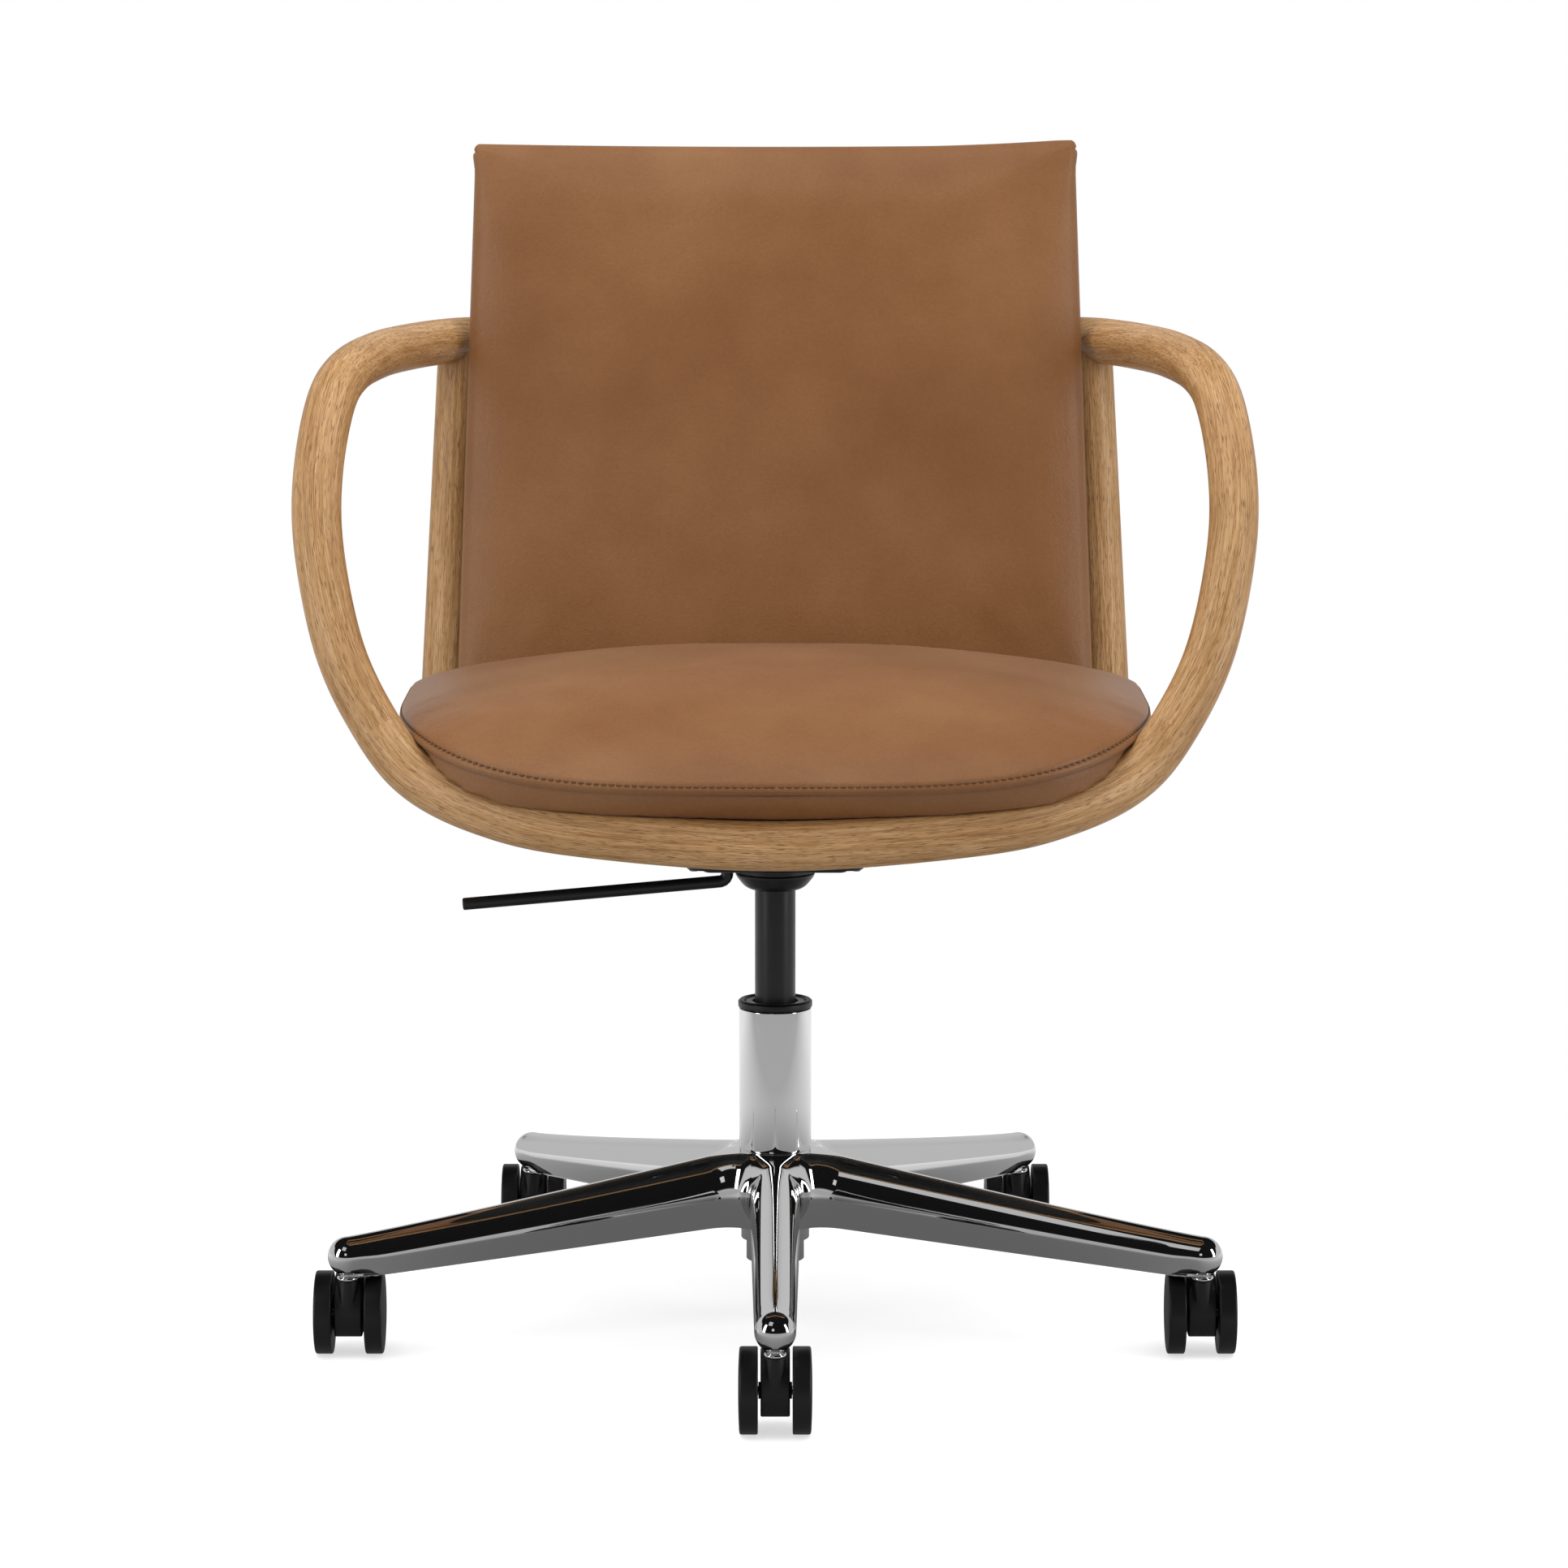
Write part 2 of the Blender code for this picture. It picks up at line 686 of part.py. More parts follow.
def build_stand_tube():
    """The chromed tube, whose neck sits through the hub and ends in a smaller cup."""
    neck_low = HUB_UNDERSIDE - TUBE_NECK_BELOW
    hole = ROD_END_RADIUS + SLIDE_GAP
    cup = TUBE_TIP_RADIUS - TUBE_WALL
    soft = 0.0010
    profile = [
        (hole, TUBE_BOTTOM),
        (TUBE_TIP_RADIUS - soft, TUBE_BOTTOM),
        (TUBE_TIP_RADIUS, TUBE_BOTTOM + soft),
        (TUBE_TIP_RADIUS, neck_low),
        (TUBE_NECK_RADIUS, neck_low),
        (TUBE_NECK_RADIUS, TUBE_SEAT_Z),
        (TUBE_RADIUS, TUBE_SEAT_Z),
        (TUBE_RADIUS, TUBE_TOP),
        (TUBE_BORE, TUBE_TOP),
        (TUBE_BORE, neck_low + TUBE_FLOOR),
        (cup, neck_low + TUBE_FLOOR),
        (cup, TUBE_BOTTOM + TUBE_FLOOR),
        (hole, TUBE_BOTTOM + TUBE_FLOOR),
    ]
    return add_object("stand_tube", add_turned(bmesh.new(), profile, 24), CHROME)


def build_guide_bush():
    """The plastic sleeve in which the gas cylinder slides and turns."""
    mesh = add_bored(
        bmesh.new(), TUBE_BORE - GAP, CYLINDER_RADIUS + SLIDE_GAP, TUBE_TOP - BUSH_LENGTH, TUBE_TOP, 24
    )
    return add_object("guide_bush", mesh, BLACK_PLASTIC)


def build_collar():
    """The black ring that caps the tube, with a rebate for its washer."""
    inner = CYLINDER_RADIUS + SLIDE_GAP
    top = COLLAR_Z + COLLAR_HEIGHT
    seat = top - WASHER_SINK - WASHER_THICKNESS
    washer = (CYLINDER_RADIUS + COLLAR_RADIUS) / 2 + 0.0005
    soft = 0.0012
    profile = [
        (inner, COLLAR_Z),
        (COLLAR_RADIUS - soft, COLLAR_Z),
        (COLLAR_RADIUS, COLLAR_Z + soft),
        (COLLAR_RADIUS, top - soft),
        (COLLAR_RADIUS - soft, top),
        (washer + GAP + soft, top),
        (washer + GAP, top - soft),
        (washer + GAP, seat),
        (inner, seat),
    ]
    add_object("tube_collar", add_turned(bmesh.new(), profile, 24), BLACK_PLASTIC)
    mesh = add_bored(bmesh.new(), washer, inner, seat + GAP, seat + GAP + WASHER_THICKNESS, 24)
    add_object("collar_washer", mesh, GREY_PLASTIC)


def build_gas_spring():
    """The cylinder that lifts the seat, its release button, and the rod that it rides on."""
    hole = ROD_RADIUS + SLIDE_GAP
    ceiling = CYLINDER_TOP - BUTTON_DEPTH
    soft = 0.0008
    button_hole = BUTTON_RADIUS + SLIDE_GAP
    profile = [
        (hole, CYLINDER_BOTTOM),
        (CYLINDER_RADIUS - soft, CYLINDER_BOTTOM),
        (CYLINDER_RADIUS, CYLINDER_BOTTOM + soft),
        (CYLINDER_RADIUS, CYLINDER_TOP - soft),
        (CYLINDER_RADIUS - soft, CYLINDER_TOP),
        (button_hole, CYLINDER_TOP),
        (button_hole, ceiling - CYLINDER_WALL),
        (CYLINDER_BORE, ceiling - CYLINDER_WALL),
        (CYLINDER_BORE, CYLINDER_BOTTOM + CYLINDER_END),
        (hole, CYLINDER_BOTTOM + CYLINDER_END),
    ]
    cylinder = add_turned(bmesh.new(), profile, 24)
    add_object("gas_cylinder", cylinder, BLACK_METAL)

    button = [
        (0, ceiling),
        (BUTTON_RADIUS, ceiling),
        (BUTTON_RADIUS, CYLINDER_TOP + BUTTON_HEIGHT - soft),
        (BUTTON_RADIUS - soft, CYLINDER_TOP + BUTTON_HEIGHT),
        (0, CYLINDER_TOP + BUTTON_HEIGHT),
    ]
    mesh = add_turned(bmesh.new(), button, 12, closed=False)
    add_object("release_button", mesh, STEEL, origin=(0, 0, CYLINDER_TOP))

    shoulder = TUBE_BOTTOM + TUBE_FLOOR + GAP
    tail = TUBE_BOTTOM - GAP - CLIP_THICKNESS - GAP - ROD_TAIL
    piston_top = PISTON_Z + PISTON_HEIGHT
    rod = [
        (0, tail),
        (ROD_END_RADIUS, tail),
        (ROD_END_RADIUS, shoulder),
        (ROD_RADIUS, shoulder),
        (ROD_RADIUS, PISTON_Z),
        (PISTON_RADIUS, PISTON_Z),
        (PISTON_RADIUS, piston_top),
        (0, piston_top),
    ]
    mesh = add_turned(bmesh.new(), rod, 16, closed=False)
    add_object("piston_rod", mesh, STEEL)

    low = shoulder
    inner = ROD_RADIUS + GAP
    mesh = add_bored(bmesh.new(), BEARING_RADIUS, inner, low, low + BEARING_HEIGHT, 20)
    add_object("thrust_bearing", mesh, STEEL)
    top = TUBE_BOTTOM - GAP
    inner = ROD_END_RADIUS + GAP
    mesh = add_bored(bmesh.new(), CLIP_RADIUS, inner, top - CLIP_THICKNESS, top, 16)
    add_object("rod_clip", mesh, STEEL)


# Mounting plate and lever

def rounded_rectangle(half_width, half_depth, corner, z, steps=2):
    """A rounded rectangle's points, anticlockwise, level at a height."""
    points = []
    for quarter in range(4):
        sx = 1 if quarter in (0, 3) else -1
        sy = 1 if quarter in (0, 1) else -1
        cx, cy = sx * (half_width - corner), sy * (half_depth - corner)
        for i in range(steps + 1):
            a = math.radians(90 * quarter + 90 * i / steps)
            points.append(Vector((cx + corner * math.cos(a), cy + corner * math.sin(a), z)))
    return points


def lever_pivot():
    """The lever pin's centre, inside the plate's tray."""
    eye_z = PLATE_UNDERSIDE + SHEET + BUTTON_HEIGHT + GAP + LEVER_EYE_RADIUS
    return Vector((-LEVER_DROP_X + 2.2 * LEVER_EYE_RADIUS, LEVER_Y, eye_z))


def plate_screw_places():
    """Four screws through the plate's flange."""
    x = PLATE_HALF_WIDTH - TRAY_INSET / 2
    y = PLATE_HALF_DEPTH - PLATE_CORNER * 1.6
    return [Vector((sx * x, sy * y, 0)) for sx in (-1, 1) for sy in (-1, 1)]


def build_mounting_plate():
    """A flange against the pan, a shallow tray, and a cup round the spring's head and button."""
    mesh = bmesh.new()
    w, d, corner = PLATE_HALF_WIDTH, PLATE_HALF_DEPTH, PLATE_CORNER
    inset = TRAY_INSET
    flange_low = PLATE_TOP - FLANGE_THICKNESS
    tray_low = PLATE_TOP - TRAY_HEIGHT
    floor = tray_low + SHEET
    levels = [
        (inset + SHEET, tray_low),
        (inset, floor),
        (inset, flange_low),
        (0.0, flange_low),
        (0.0, PLATE_TOP),
        (inset + SHEET, PLATE_TOP),
        (inset + SHEET, floor),
    ]
    rings = []
    for step, z in levels:
        rings.append(rounded_rectangle(w - step, d - step, max(corner - step, 0.004), z))
    add_loft(mesh, rings)
    plate = add_object("mounting_plate", mesh, BLACK_METAL)

    cup_top = tray_low + SHEET / 2
    outer = [(0, PLATE_UNDERSIDE), (CUP_RADIUS, PLATE_UNDERSIDE), (CUP_RADIUS, cup_top), (0, cup_top)]
    cup = add_turned(bmesh.new(), outer, 24, closed=False)
    boolean(plate, add_cutter("plate_cup", cup), "UNION")
    hollow = bmesh.new()
    cup_floor = PLATE_UNDERSIDE + SHEET
    add_rod(hollow, (0, 0, cup_floor), (0, 0, floor + SHEET), CUP_RADIUS - SHEET, 24)
    boolean(plate, add_cutter("plate_hollow", hollow))

    pivot = lever_pivot()
    far = LEVER_DROP_X + LEVER_RADIUS + LEVER_SLOT_GAP
    near = CUP_RADIUS - LEVER_EYE_RADIUS * 2
    side_gap = PADDLE_WIDTH / 2 + 3 * GAP
    window = bmesh.new()
    rings = []
    for z in (pivot.z - LEVER_EYE_RADIUS - 2 * GAP, floor + SHEET / 2):
        rings.append([
            Vector((x, LEVER_Y + side_gap * sy, z))
            for x, sy in ((-far, -1), (-near, -1), (-near, 1), (-far, 1))
        ])
    add_loft(window, rings)
    boolean(plate, add_cutter("plate_window", window))

    ears = bmesh.new()
    ear_height = pivot.z + LEVER_EYE_RADIUS
    for side in (-1, 1):
        y = LEVER_Y + side * (LEVER_PIN_LENGTH / 2 - SHEET)
        rings = []
        for z in (tray_low + SHEET * 0.4, ear_height):
            rings.append([
                Vector((pivot.x + sx * LEVER_EYE_RADIUS, y + sy * SHEET / 2, z))
                for sx, sy in ((-1, -1), (1, -1), (1, 1), (-1, 1))
            ])
        add_loft(ears, rings)
    boolean(plate, add_cutter("plate_ears", ears), "UNION")

    holes = bmesh.new()
    low = Vector((0, 0, PLATE_UNDERSIDE - 0.01))
    add_rod(holes, low, (0, 0, cup_floor + 0.001), CYLINDER_RADIUS + SLIDE_GAP, 24)
    half = Vector((0, LEVER_PIN_LENGTH / 2 + 0.002, 0))
    add_rod(holes, pivot - half, pivot + half, LEVER_PIN_RADIUS + GAP, 10)
    for place in plate_screw_places():
        add_rod(
            holes, place + Vector((0, 0, flange_low - 0.002)),
            place + Vector((0, 0, PLATE_TOP + 0.002)), SCREW_RADIUS + GAP, 8,
        )
    boolean(plate, add_cutter("plate_holes", holes))
    return plate


def build_plate_hub():
    """The bowl under the plate that grips the head of the gas cylinder."""
    inner = CYLINDER_RADIUS + GAP
    top = PLATE_UNDERSIDE - GAP
    low = PLATE_HUB_BOTTOM
    profile = [
        (inner, low),
        (PLATE_HUB_FOOT, low),
        (mix(PLATE_HUB_FOOT, CUP_RADIUS, 0.37), mix(low, top, 0.20)),
        (mix(PLATE_HUB_FOOT, CUP_RADIUS, 0.93), mix(low, top, 0.80)),
        (CUP_RADIUS, top),
        (inner, top),
    ]
    return add_object("plate_hub", add_turned(bmesh.new(), profile, 24), BLACK_METAL)


def lever_path():
    """The bent rod: down from the eye, round the bend, then out to the side and a little down."""
    corner = Vector((-LEVER_DROP_X, LEVER_Y, PLATE_UNDERSIDE - LEVER_BELOW))
    along = Vector((-math.cos(LEVER_SLOPE), 0, -math.sin(LEVER_SLOPE)))
    turn = math.pi / 2 + LEVER_SLOPE
    tangent = LEVER_BEND / math.tan(turn / 2)
    start = corner + Vector((0, 0, tangent))
    centre = start + Vector((-LEVER_BEND, 0, 0))
    sweep = math.pi - turn
    points = [Vector((corner.x, LEVER_Y, lever_pivot().z)), start]
    for i in range(1, 5):
        a = -sweep * i / 4
        points.append(centre + LEVER_BEND * Vector((math.cos(a), 0, math.sin(a))))
    run = (LEVER_REACH - LEVER_DROP_X - tangent) / math.cos(LEVER_SLOPE)
    points.append(points[-1] + along * run)
    return points


def build_lever():
    """The release lever: a black rod with a paddle over the button, on its own pin."""
    pivot = lever_pivot()
    points = lever_path()
    directions = path_directions(points)
    directions[0] = (points[1] - points[0]).normalized()
    mesh = add_loft(bmesh.new(), sweep_rings(points, directions, LEVER_RADIUS, 12))
    lever = add_object("release_lever", mesh, BLACK_METAL, origin=pivot)

    arm = bmesh.new()
    half = PADDLE_WIDTH / 2
    low = PLATE_UNDERSIDE + SHEET + BUTTON_HEIGHT + GAP
    high = low + PADDLE_THICKNESS
    far = BUTTON_RADIUS
    rings = []
    for x in (-LEVER_DROP_X - LEVER_RADIUS * 0.6, far):
        rings.append([
            Vector((x, LEVER_Y + half * sy, z))
            for sy, z in ((-1, low), (1, low), (1, high), (-1, high))
        ])
    add_loft(arm, rings)
    boolean(lever, add_cutter("lever_paddle", arm), "UNION")
    eye = bmesh.new()
    reach = Vector((0, half, 0))
    add_rod(eye, pivot - reach, pivot + reach, LEVER_EYE_RADIUS, 14)
    boolean(lever, add_cutter("lever_eye", eye), "UNION")
    bore = bmesh.new()
    reach = Vector((0, LEVER_PIN_LENGTH, 0))
    add_rod(bore, pivot - reach, pivot + reach, LEVER_PIN_RADIUS + GAP, 10)
    boolean(lever, add_cutter("lever_bore", bore))

    reach = Vector((0, LEVER_PIN_LENGTH / 2, 0))
    pin = add_rod(bmesh.new(), pivot - reach, pivot + reach, LEVER_PIN_RADIUS, 10)
    add_object("lever_pin", pin, STEEL, origin=pivot)


def build_plate_screws():
    """Pan-head screws up through the flange into the seat pan."""
    under = PLATE_TOP - FLANGE_THICKNESS - GAP
    for number, place in enumerate(plate_screw_places(), start=1):
        profile = [
            (0, under - SCREW_HEAD_HEIGHT),
            (SCREW_HEAD_RADIUS * 0.7, under - SCREW_HEAD_HEIGHT),
            (SCREW_HEAD_RADIUS, under - SCREW_HEAD_HEIGHT * 0.4),
            (SCREW_HEAD_RADIUS, under),
            (SCREW_RADIUS, under),
            (SCREW_RADIUS, PAN_BOTTOM + SCREW_BITE),
            (0, PAN_BOTTOM + SCREW_BITE),
        ]
        mesh = add_turned(bmesh.new(), profile, 8, Matrix.Translation(place), closed=False)
        add_object(f"plate_screw_{number}", mesh, STEEL)


# Oak frame

def mirrored(points, side):
    """Points of the +X side, or their mirror image."""
    return [Vector((side * p.x, p.y, p.z)) for p in points]


def loop_piece(start, stop, side):
    """Path points and directions for a stretch of the loop on one side."""
    stations = sample_stations(LOOP, start, stop, RING_STEP)
    nudge = 0.004
    places = [curve_point(LOOP, s) for s in stations]
    directions = []
    for s in stations:
        ahead = curve_point(LOOP, min(s + nudge, len(LOOP) - 1))
        behind = curve_point(LOOP, max(s - nudge, 0))
        directions.append((ahead - behind).normalized())
    for i in (0, -1):
        if abs(places[i].x) < 1e-6:
            directions[i] = Vector((directions[i].x, 0, 0)).normalized()
    return mirrored(places, side), mirrored(directions, side)


def across_middle(start, stop):
    """A stretch of the loop that crosses the chair's middle, from the -X side to the +X side."""
    places, directions = loop_piece(start, stop, 1)
    if abs(places[0].x) > abs(places[-1].x):
        places.reverse()
        directions = [-d for d in reversed(directions)]
    left = [Vector((-p.x, p.y, p.z)) for p in reversed(places[1:])]
    left_directions = [Vector((d.x, -d.y, -d.z)) for d in reversed(directions[1:])]
    return left + places, left_directions + directions


def build_wood(name, places, directions):
    """One round oak member, drawn back at both ends by half a joint's gap."""
    places[0] = places[0] + directions[0] * GAP / 2
    places[-1] = places[-1] - directions[-1] * GAP / 2
    mesh = add_loft(bmesh.new(), sweep_rings(places, directions, WOOD_RADIUS, WOOD_SIDES))
    return add_object(name, mesh, OAK, sharp=50)


def rear_rail_path():
    """The rear rail: level between the posts, turned up at both ends to meet them."""
    rise = REAR_BEND + REAR_SPLICE_RISE
    top = post_axis(RAIL_Z + rise)
    lean = (post_axis(RAIL_Z + 2 * rise) - top).normalized()
    foot = Vector((POST_FOOT_X, REAR_RAIL_Y, RAIL_Z))
    bend_top = foot + (top - foot) * (REAR_BEND / rise)
    half = [Vector((0, REAR_RAIL_Y, RAIL_Z))]
    flat_end = Vector((POST_FOOT_X - REAR_BEND, REAR_RAIL_Y, RAIL_Z))
    half.append((half[0] + flat_end) / 2)
    half.append(flat_end)
    for i in range(1, 5):
        t = i / 5
        curve = flat_end * (1 - t) ** 2 + foot * 2 * t * (1 - t) + bend_top * t * t
        half.append(curve)
    half += [bend_top, top]
    directions = path_directions(half)
    directions[0] = Vector((1, 0, 0))
    directions[-1] = lean
    left = [Vector((-p.x, p.y, p.z)) for p in reversed(half[1:])]
    left_directions = [Vector((d.x, -d.y, -d.z)) for d in reversed(directions[1:])]
    return left + half, left_directions + directions


def post_path(side):
    """A straight post from the rear rail's end up into the underside of the loop."""
    low = post_axis(RAIL_Z + REAR_BEND + REAR_SPLICE_RISE)
    high = POST_TOP
    direction = (high - low).normalized()
    return mirrored([low, high], side), mirrored([direction, direction], side)


def frame_joints():
    """Every tenon: its middle, direction and radius, who carries it and who is bored for it."""
    joints = []
    for label, side in (("left", 1), ("right", -1)):
        riser, top, post = f"arm_riser_{label}", f"arm_top_{label}", f"back_post_{label}"
        for station, carrier, bored in (
            (LOWER_SPLICE, riser, "front_rail"),
            (UPPER_SPLICE, riser, top),
            (REAR_SPLICE, "back_rail", top),
        ):
            places, directions = loop_piece(station, station + 0.01, side)
            joints.append((places[0], directions[0], TENON_RADIUS, carrier, bored))
        places, directions = post_path(side)
        joints.append((places[0], directions[0], TENON_RADIUS, post, "rear_rail"))
        joints.append((places[-1], directions[-1], TENON_RADIUS, post, top))
        front = Vector((side * SEAT_HALF_WIDTH * 0.16, RAIL_FRONT_Y + WOOD_RADIUS, RAIL_Z))
        rear = Vector((side * SEAT_HALF_WIDTH * 0.45, REAR_RAIL_Y - WOOD_RADIUS, RAIL_Z))
        joints.append((front, Vector((0, 1, 0)), PEG_RADIUS, "front_rail", "seat_pan"))
        joints.append((rear, Vector((0, 1, 0)), PEG_RADIUS, "rear_rail", "seat_pan"))
    return joints


def join_frame():
    """Give each joint its round tenon and the bore that it fits."""
    for number, (middle, direction, radius, carrier, bored) in enumerate(frame_joints(), start=1):
        reach = direction * TENON_LENGTH / 2
        tenon = add_rod(bmesh.new(), middle - reach, middle + reach, radius, 10)
        boolean(bpy.data.objects[carrier], add_cutter(f"tenon_{number}", tenon), "UNION")
        longer = direction * (TENON_LENGTH / 2 + GAP)
        bore = add_rod(bmesh.new(), middle - longer, middle + longer, radius + GAP, 10)
        boolean(bpy.data.objects[bored], add_cutter(f"bore_{number}", bore))


def build_frame():
    """The oak loop in six members, two posts and the rear rail."""
    build_wood("front_rail", *across_middle(0, LOWER_SPLICE))
    build_wood("back_rail", *across_middle(REAR_SPLICE, len(LOOP) - 1))
    for label, side in (("left", 1), ("right", -1)):
        build_wood(f"arm_riser_{label}", *loop_piece(LOWER_SPLICE, UPPER_SPLICE, side))
        build_wood(f"arm_top_{label}", *loop_piece(UPPER_SPLICE, REAR_SPLICE, side))
        post = build_wood(f"back_post_{label}", *post_path(side))
        fit_post_to_loop(post, side)
    build_wood("rear_rail", *rear_rail_path())


def fit_post_to_loop(post, side):
    """Cope the post's top end to the loop above it."""
    places, directions = loop_piece(UPPER_SPLICE, REAR_SPLICE, side)
    rings = sweep_rings(places, directions, WOOD_RADIUS + GAP, WOOD_SIDES)
    boolean(post, add_cutter(post.name + "_cope", add_loft(bmesh.new(), rings)))


# Seat

def plan_ring(half_width, front_y, rear_y, share=1.0):
    """A ring of plan points: a superellipse that is fuller behind than in front."""
    ring = []
    for i in range(SEAT_SIDES):
        a = math.tau * (i + 0.5) / SEAT_SIDES
        c, s = math.cos(a), math.sin(a)
        exponent = 2 / (SEAT_REAR_POWER if s > 0 else SEAT_FRONT_POWER)
        depth = (rear_y - SEAT_MIDDLE_Y) if s > 0 else (SEAT_MIDDLE_Y - front_y)
        x = half_width * power(c, exponent)
        y = SEAT_MIDDLE_Y + depth * power(s, exponent) * share
        ring.append((x * share, y))
    return ring


def bottom_plan(share):
    """The cushion's base, drawn in from its seam all round."""
    return plan_ring(
        SEAT_HALF_WIDTH - PANEL_DRAW_IN,
        SEAM_FRONT_Y + PANEL_DRAW_IN,
        SEAT_REAR_Y - PANEL_DRAW_IN_REAR,
        share,
    )


def pan_height(share):
    """The pan's upper surface: flat over the plate, then rising to its rim."""
    s = max(0.0, (share - PAN_FLAT_SHARE) / (1 - PAN_FLAT_SHARE))
    return mix(PAN_FLOOR, PAN_RIM_TOP, s * s * (3 - 2 * s))


PAN_SHARES = (PAN_FLAT_SHARE, 0.72, 0.86, 1.0)


def build_seat_pan():
    """A dished shell that meets the front rail and the rear rail edge to edge."""
    edge = plan_ring(
        SEAT_HALF_WIDTH - PANEL_DRAW_IN + 0.004,
        RAIL_FRONT_Y + WOOD_RADIUS + PAN_EDGE_GAP,
        REAR_RAIL_Y - WOOD_RADIUS - GAP,
    )
    top = [[Vector((0, SEAT_MIDDLE_Y, PAN_FLOOR))]]
    for share in PAN_SHARES:
        top.append([Vector((x, y, pan_height(share))) for x, y in bottom_plan(share)])
    top.append([Vector((x, y, PAN_RIM_TOP)) for x, y in edge])
    drop = Vector((0, 0, PAN_THICKNESS))
    under = [[point - drop for point in ring] for ring in reversed(top)]
    pan = add_object("seat_pan", add_loft(bmesh.new(), top + under), BOARD)
    holes = bmesh.new()
    for place in plate_screw_places():
        low = place + Vector((0, 0, PAN_BOTTOM - 0.004))
        high = place + Vector((0, 0, PAN_BOTTOM + SCREW_BITE + GAP))
        add_rod(holes, low, high, SCREW_RADIUS + GAP, 8)
    boolean(pan, add_cutter("pan_holes", holes))
    return pan


def seam_height(x):
    """The seam's height: lowest at the front, lifting towards the sides."""
    return SEAM_Z + SEAM_LIFT * abs(x / SEAT_HALF_WIDTH) ** 3


def build_seat_cushion():
    """A domed cushion: crown above the seam, drawn-in panel below it, dished underneath."""
    seat = [[Vector((0, SEAT_MIDDLE_Y, PAN_FLOOR + GAP))]]
    for share in PAN_SHARES:
        seat.append([Vector((x, y, pan_height(share) + GAP)) for x, y in bottom_plan(share)])
    seam = plan_ring(SEAT_HALF_WIDTH, SEAM_FRONT_Y, SEAT_REAR_Y)
    low = seat[-1]
    waist = [
        Vector((mix(b.x, x, WAIST_OUT), mix(b.y, y, WAIST_OUT), mix(b.z, seam_height(x), WAIST_UP)))
        for b, (x, y) in zip(low, seam)
    ]
    seat.append(waist)
    seat.append([Vector((x, y, seam_height(x))) for x, y in seam])
    for share in (0.985, 0.94, 0.86, 0.74, 0.58, 0.38, 0.18):
        ring = []
        crown = SEAT_CROWN * (1 - share ** 3) ** 0.6
        for x, y in plan_ring(SEAT_HALF_WIDTH, SEAM_FRONT_Y, SEAT_REAR_Y, share):
            ring.append(Vector((x, y, seam_height(x) + crown)))
        seat.append(ring)
    seat.append([Vector((0, SEAT_MIDDLE_Y, SEAM_Z + SEAT_CROWN))])
    return add_object("seat_cushion", add_loft(bmesh.new(), seat), LEATHER, sharp=60)


# Back

def back_half_width(v):
    """Half the back's width at a share of its height; the top corners stand out a little."""
    ear = BACK_EAR * max(0.0, (v - 0.85) / 0.15) ** 2
    return POST_TOP.x + BACK_POST_MARGIN + BACK_SPREAD * (1 - v) + ear


def back_point(u, v, inset=0.0):
    """A place on the back's rear plane: u from -1 to 1 across, v from 0 to 1 up."""
    dip = BACK_DIP * (1 - u * u) * max(0.0, (v - 0.8) / 0.2)
    z = mix(BACK_BOTTOM + inset, BACK_TOP - inset, v) - dip
    return Vector((u * (back_half_width(v) - inset), back_plane_y(z), z))


def slab(front, rear):
    """Close a body between two grids of points that share their layout."""
    mesh = bmesh.new()
    rows, columns = len(front), len(front[0])
    a = [[mesh.verts.new(p) for p in row] for row in front]
    b = [[mesh.verts.new(p) for p in row] for row in rear]
    for j in range(rows - 1):
        for i in range(columns - 1):
            mesh.faces.new((a[j][i], a[j][i + 1], a[j + 1][i + 1], a[j + 1][i]))
            mesh.faces.new((b[j][i], b[j + 1][i], b[j + 1][i + 1], b[j][i + 1]))
    rim = [(0, i) for i in range(columns)]
    rim += [(j, columns - 1) for j in range(1, rows)]
    rim += [(rows - 1, i) for i in range(columns - 2, -1, -1)]
    rim += [(j, 0) for j in range(rows - 2, 0, -1)]
    for (j, i), (m, n) in zip(rim, rim[1:] + rim[:1]):
        mesh.faces.new((a[j][i], b[j][i], b[m][n], a[m][n]))
    return mesh


def spaced(count):
    """Shares from 0 to 1, closer together at both ends."""
    return [0.5 - 0.5 * math.cos(math.pi * i / count) for i in range(count + 1)]


def build_back():
    """A flat panel with bosses that are screwed to the posts, and the domed pad on its front."""
    across = [2 * s - 1 for s in spaced(BACK_COLUMNS)]
    up = spaced(BACK_ROWS)
    inset = BACK_PANEL_INSET
    rear, middle = [], []
    for v in (0.0, 1.0):
        rear.append([back_point(u, v, inset) for u in across])
        middle.append([p - Vector((0, BACK_PANEL_THICKNESS, 0)) for p in rear[-1]])
    panel = add_object("back_panel", slab(middle, rear), BOARD)

    base, face = [], []
    for v in up:
        base_row, face_row = [], []
        for u in across:
            point = back_point(u, v) - Vector((0, BACK_PANEL_THICKNESS + GAP, 0))
            w = 2 * v - 1
            crown = ((1 - u ** 6) * (1 - w ** 6)) ** 0.5
            base_row.append(point)
            face_row.append(point - Vector((0, BACK_PAD_EDGE + BACK_PAD_CROWN * crown, 0)))
        base.append(base_row)
        face.append(face_row)
    pad = add_object("back_cushion", slab(face, base), LEATHER, sharp=60)

    places = [(side, share) for side in (-1, 1) for share in BACK_BOSS_SHARES]
    for number, (side, share) in enumerate(places, start=1):
        z = mix(BACK_BOTTOM, ARM_Z - 3 * WOOD_RADIUS, share)
        add_back_fixing(panel, number, side, post_axis(z))
    return pad


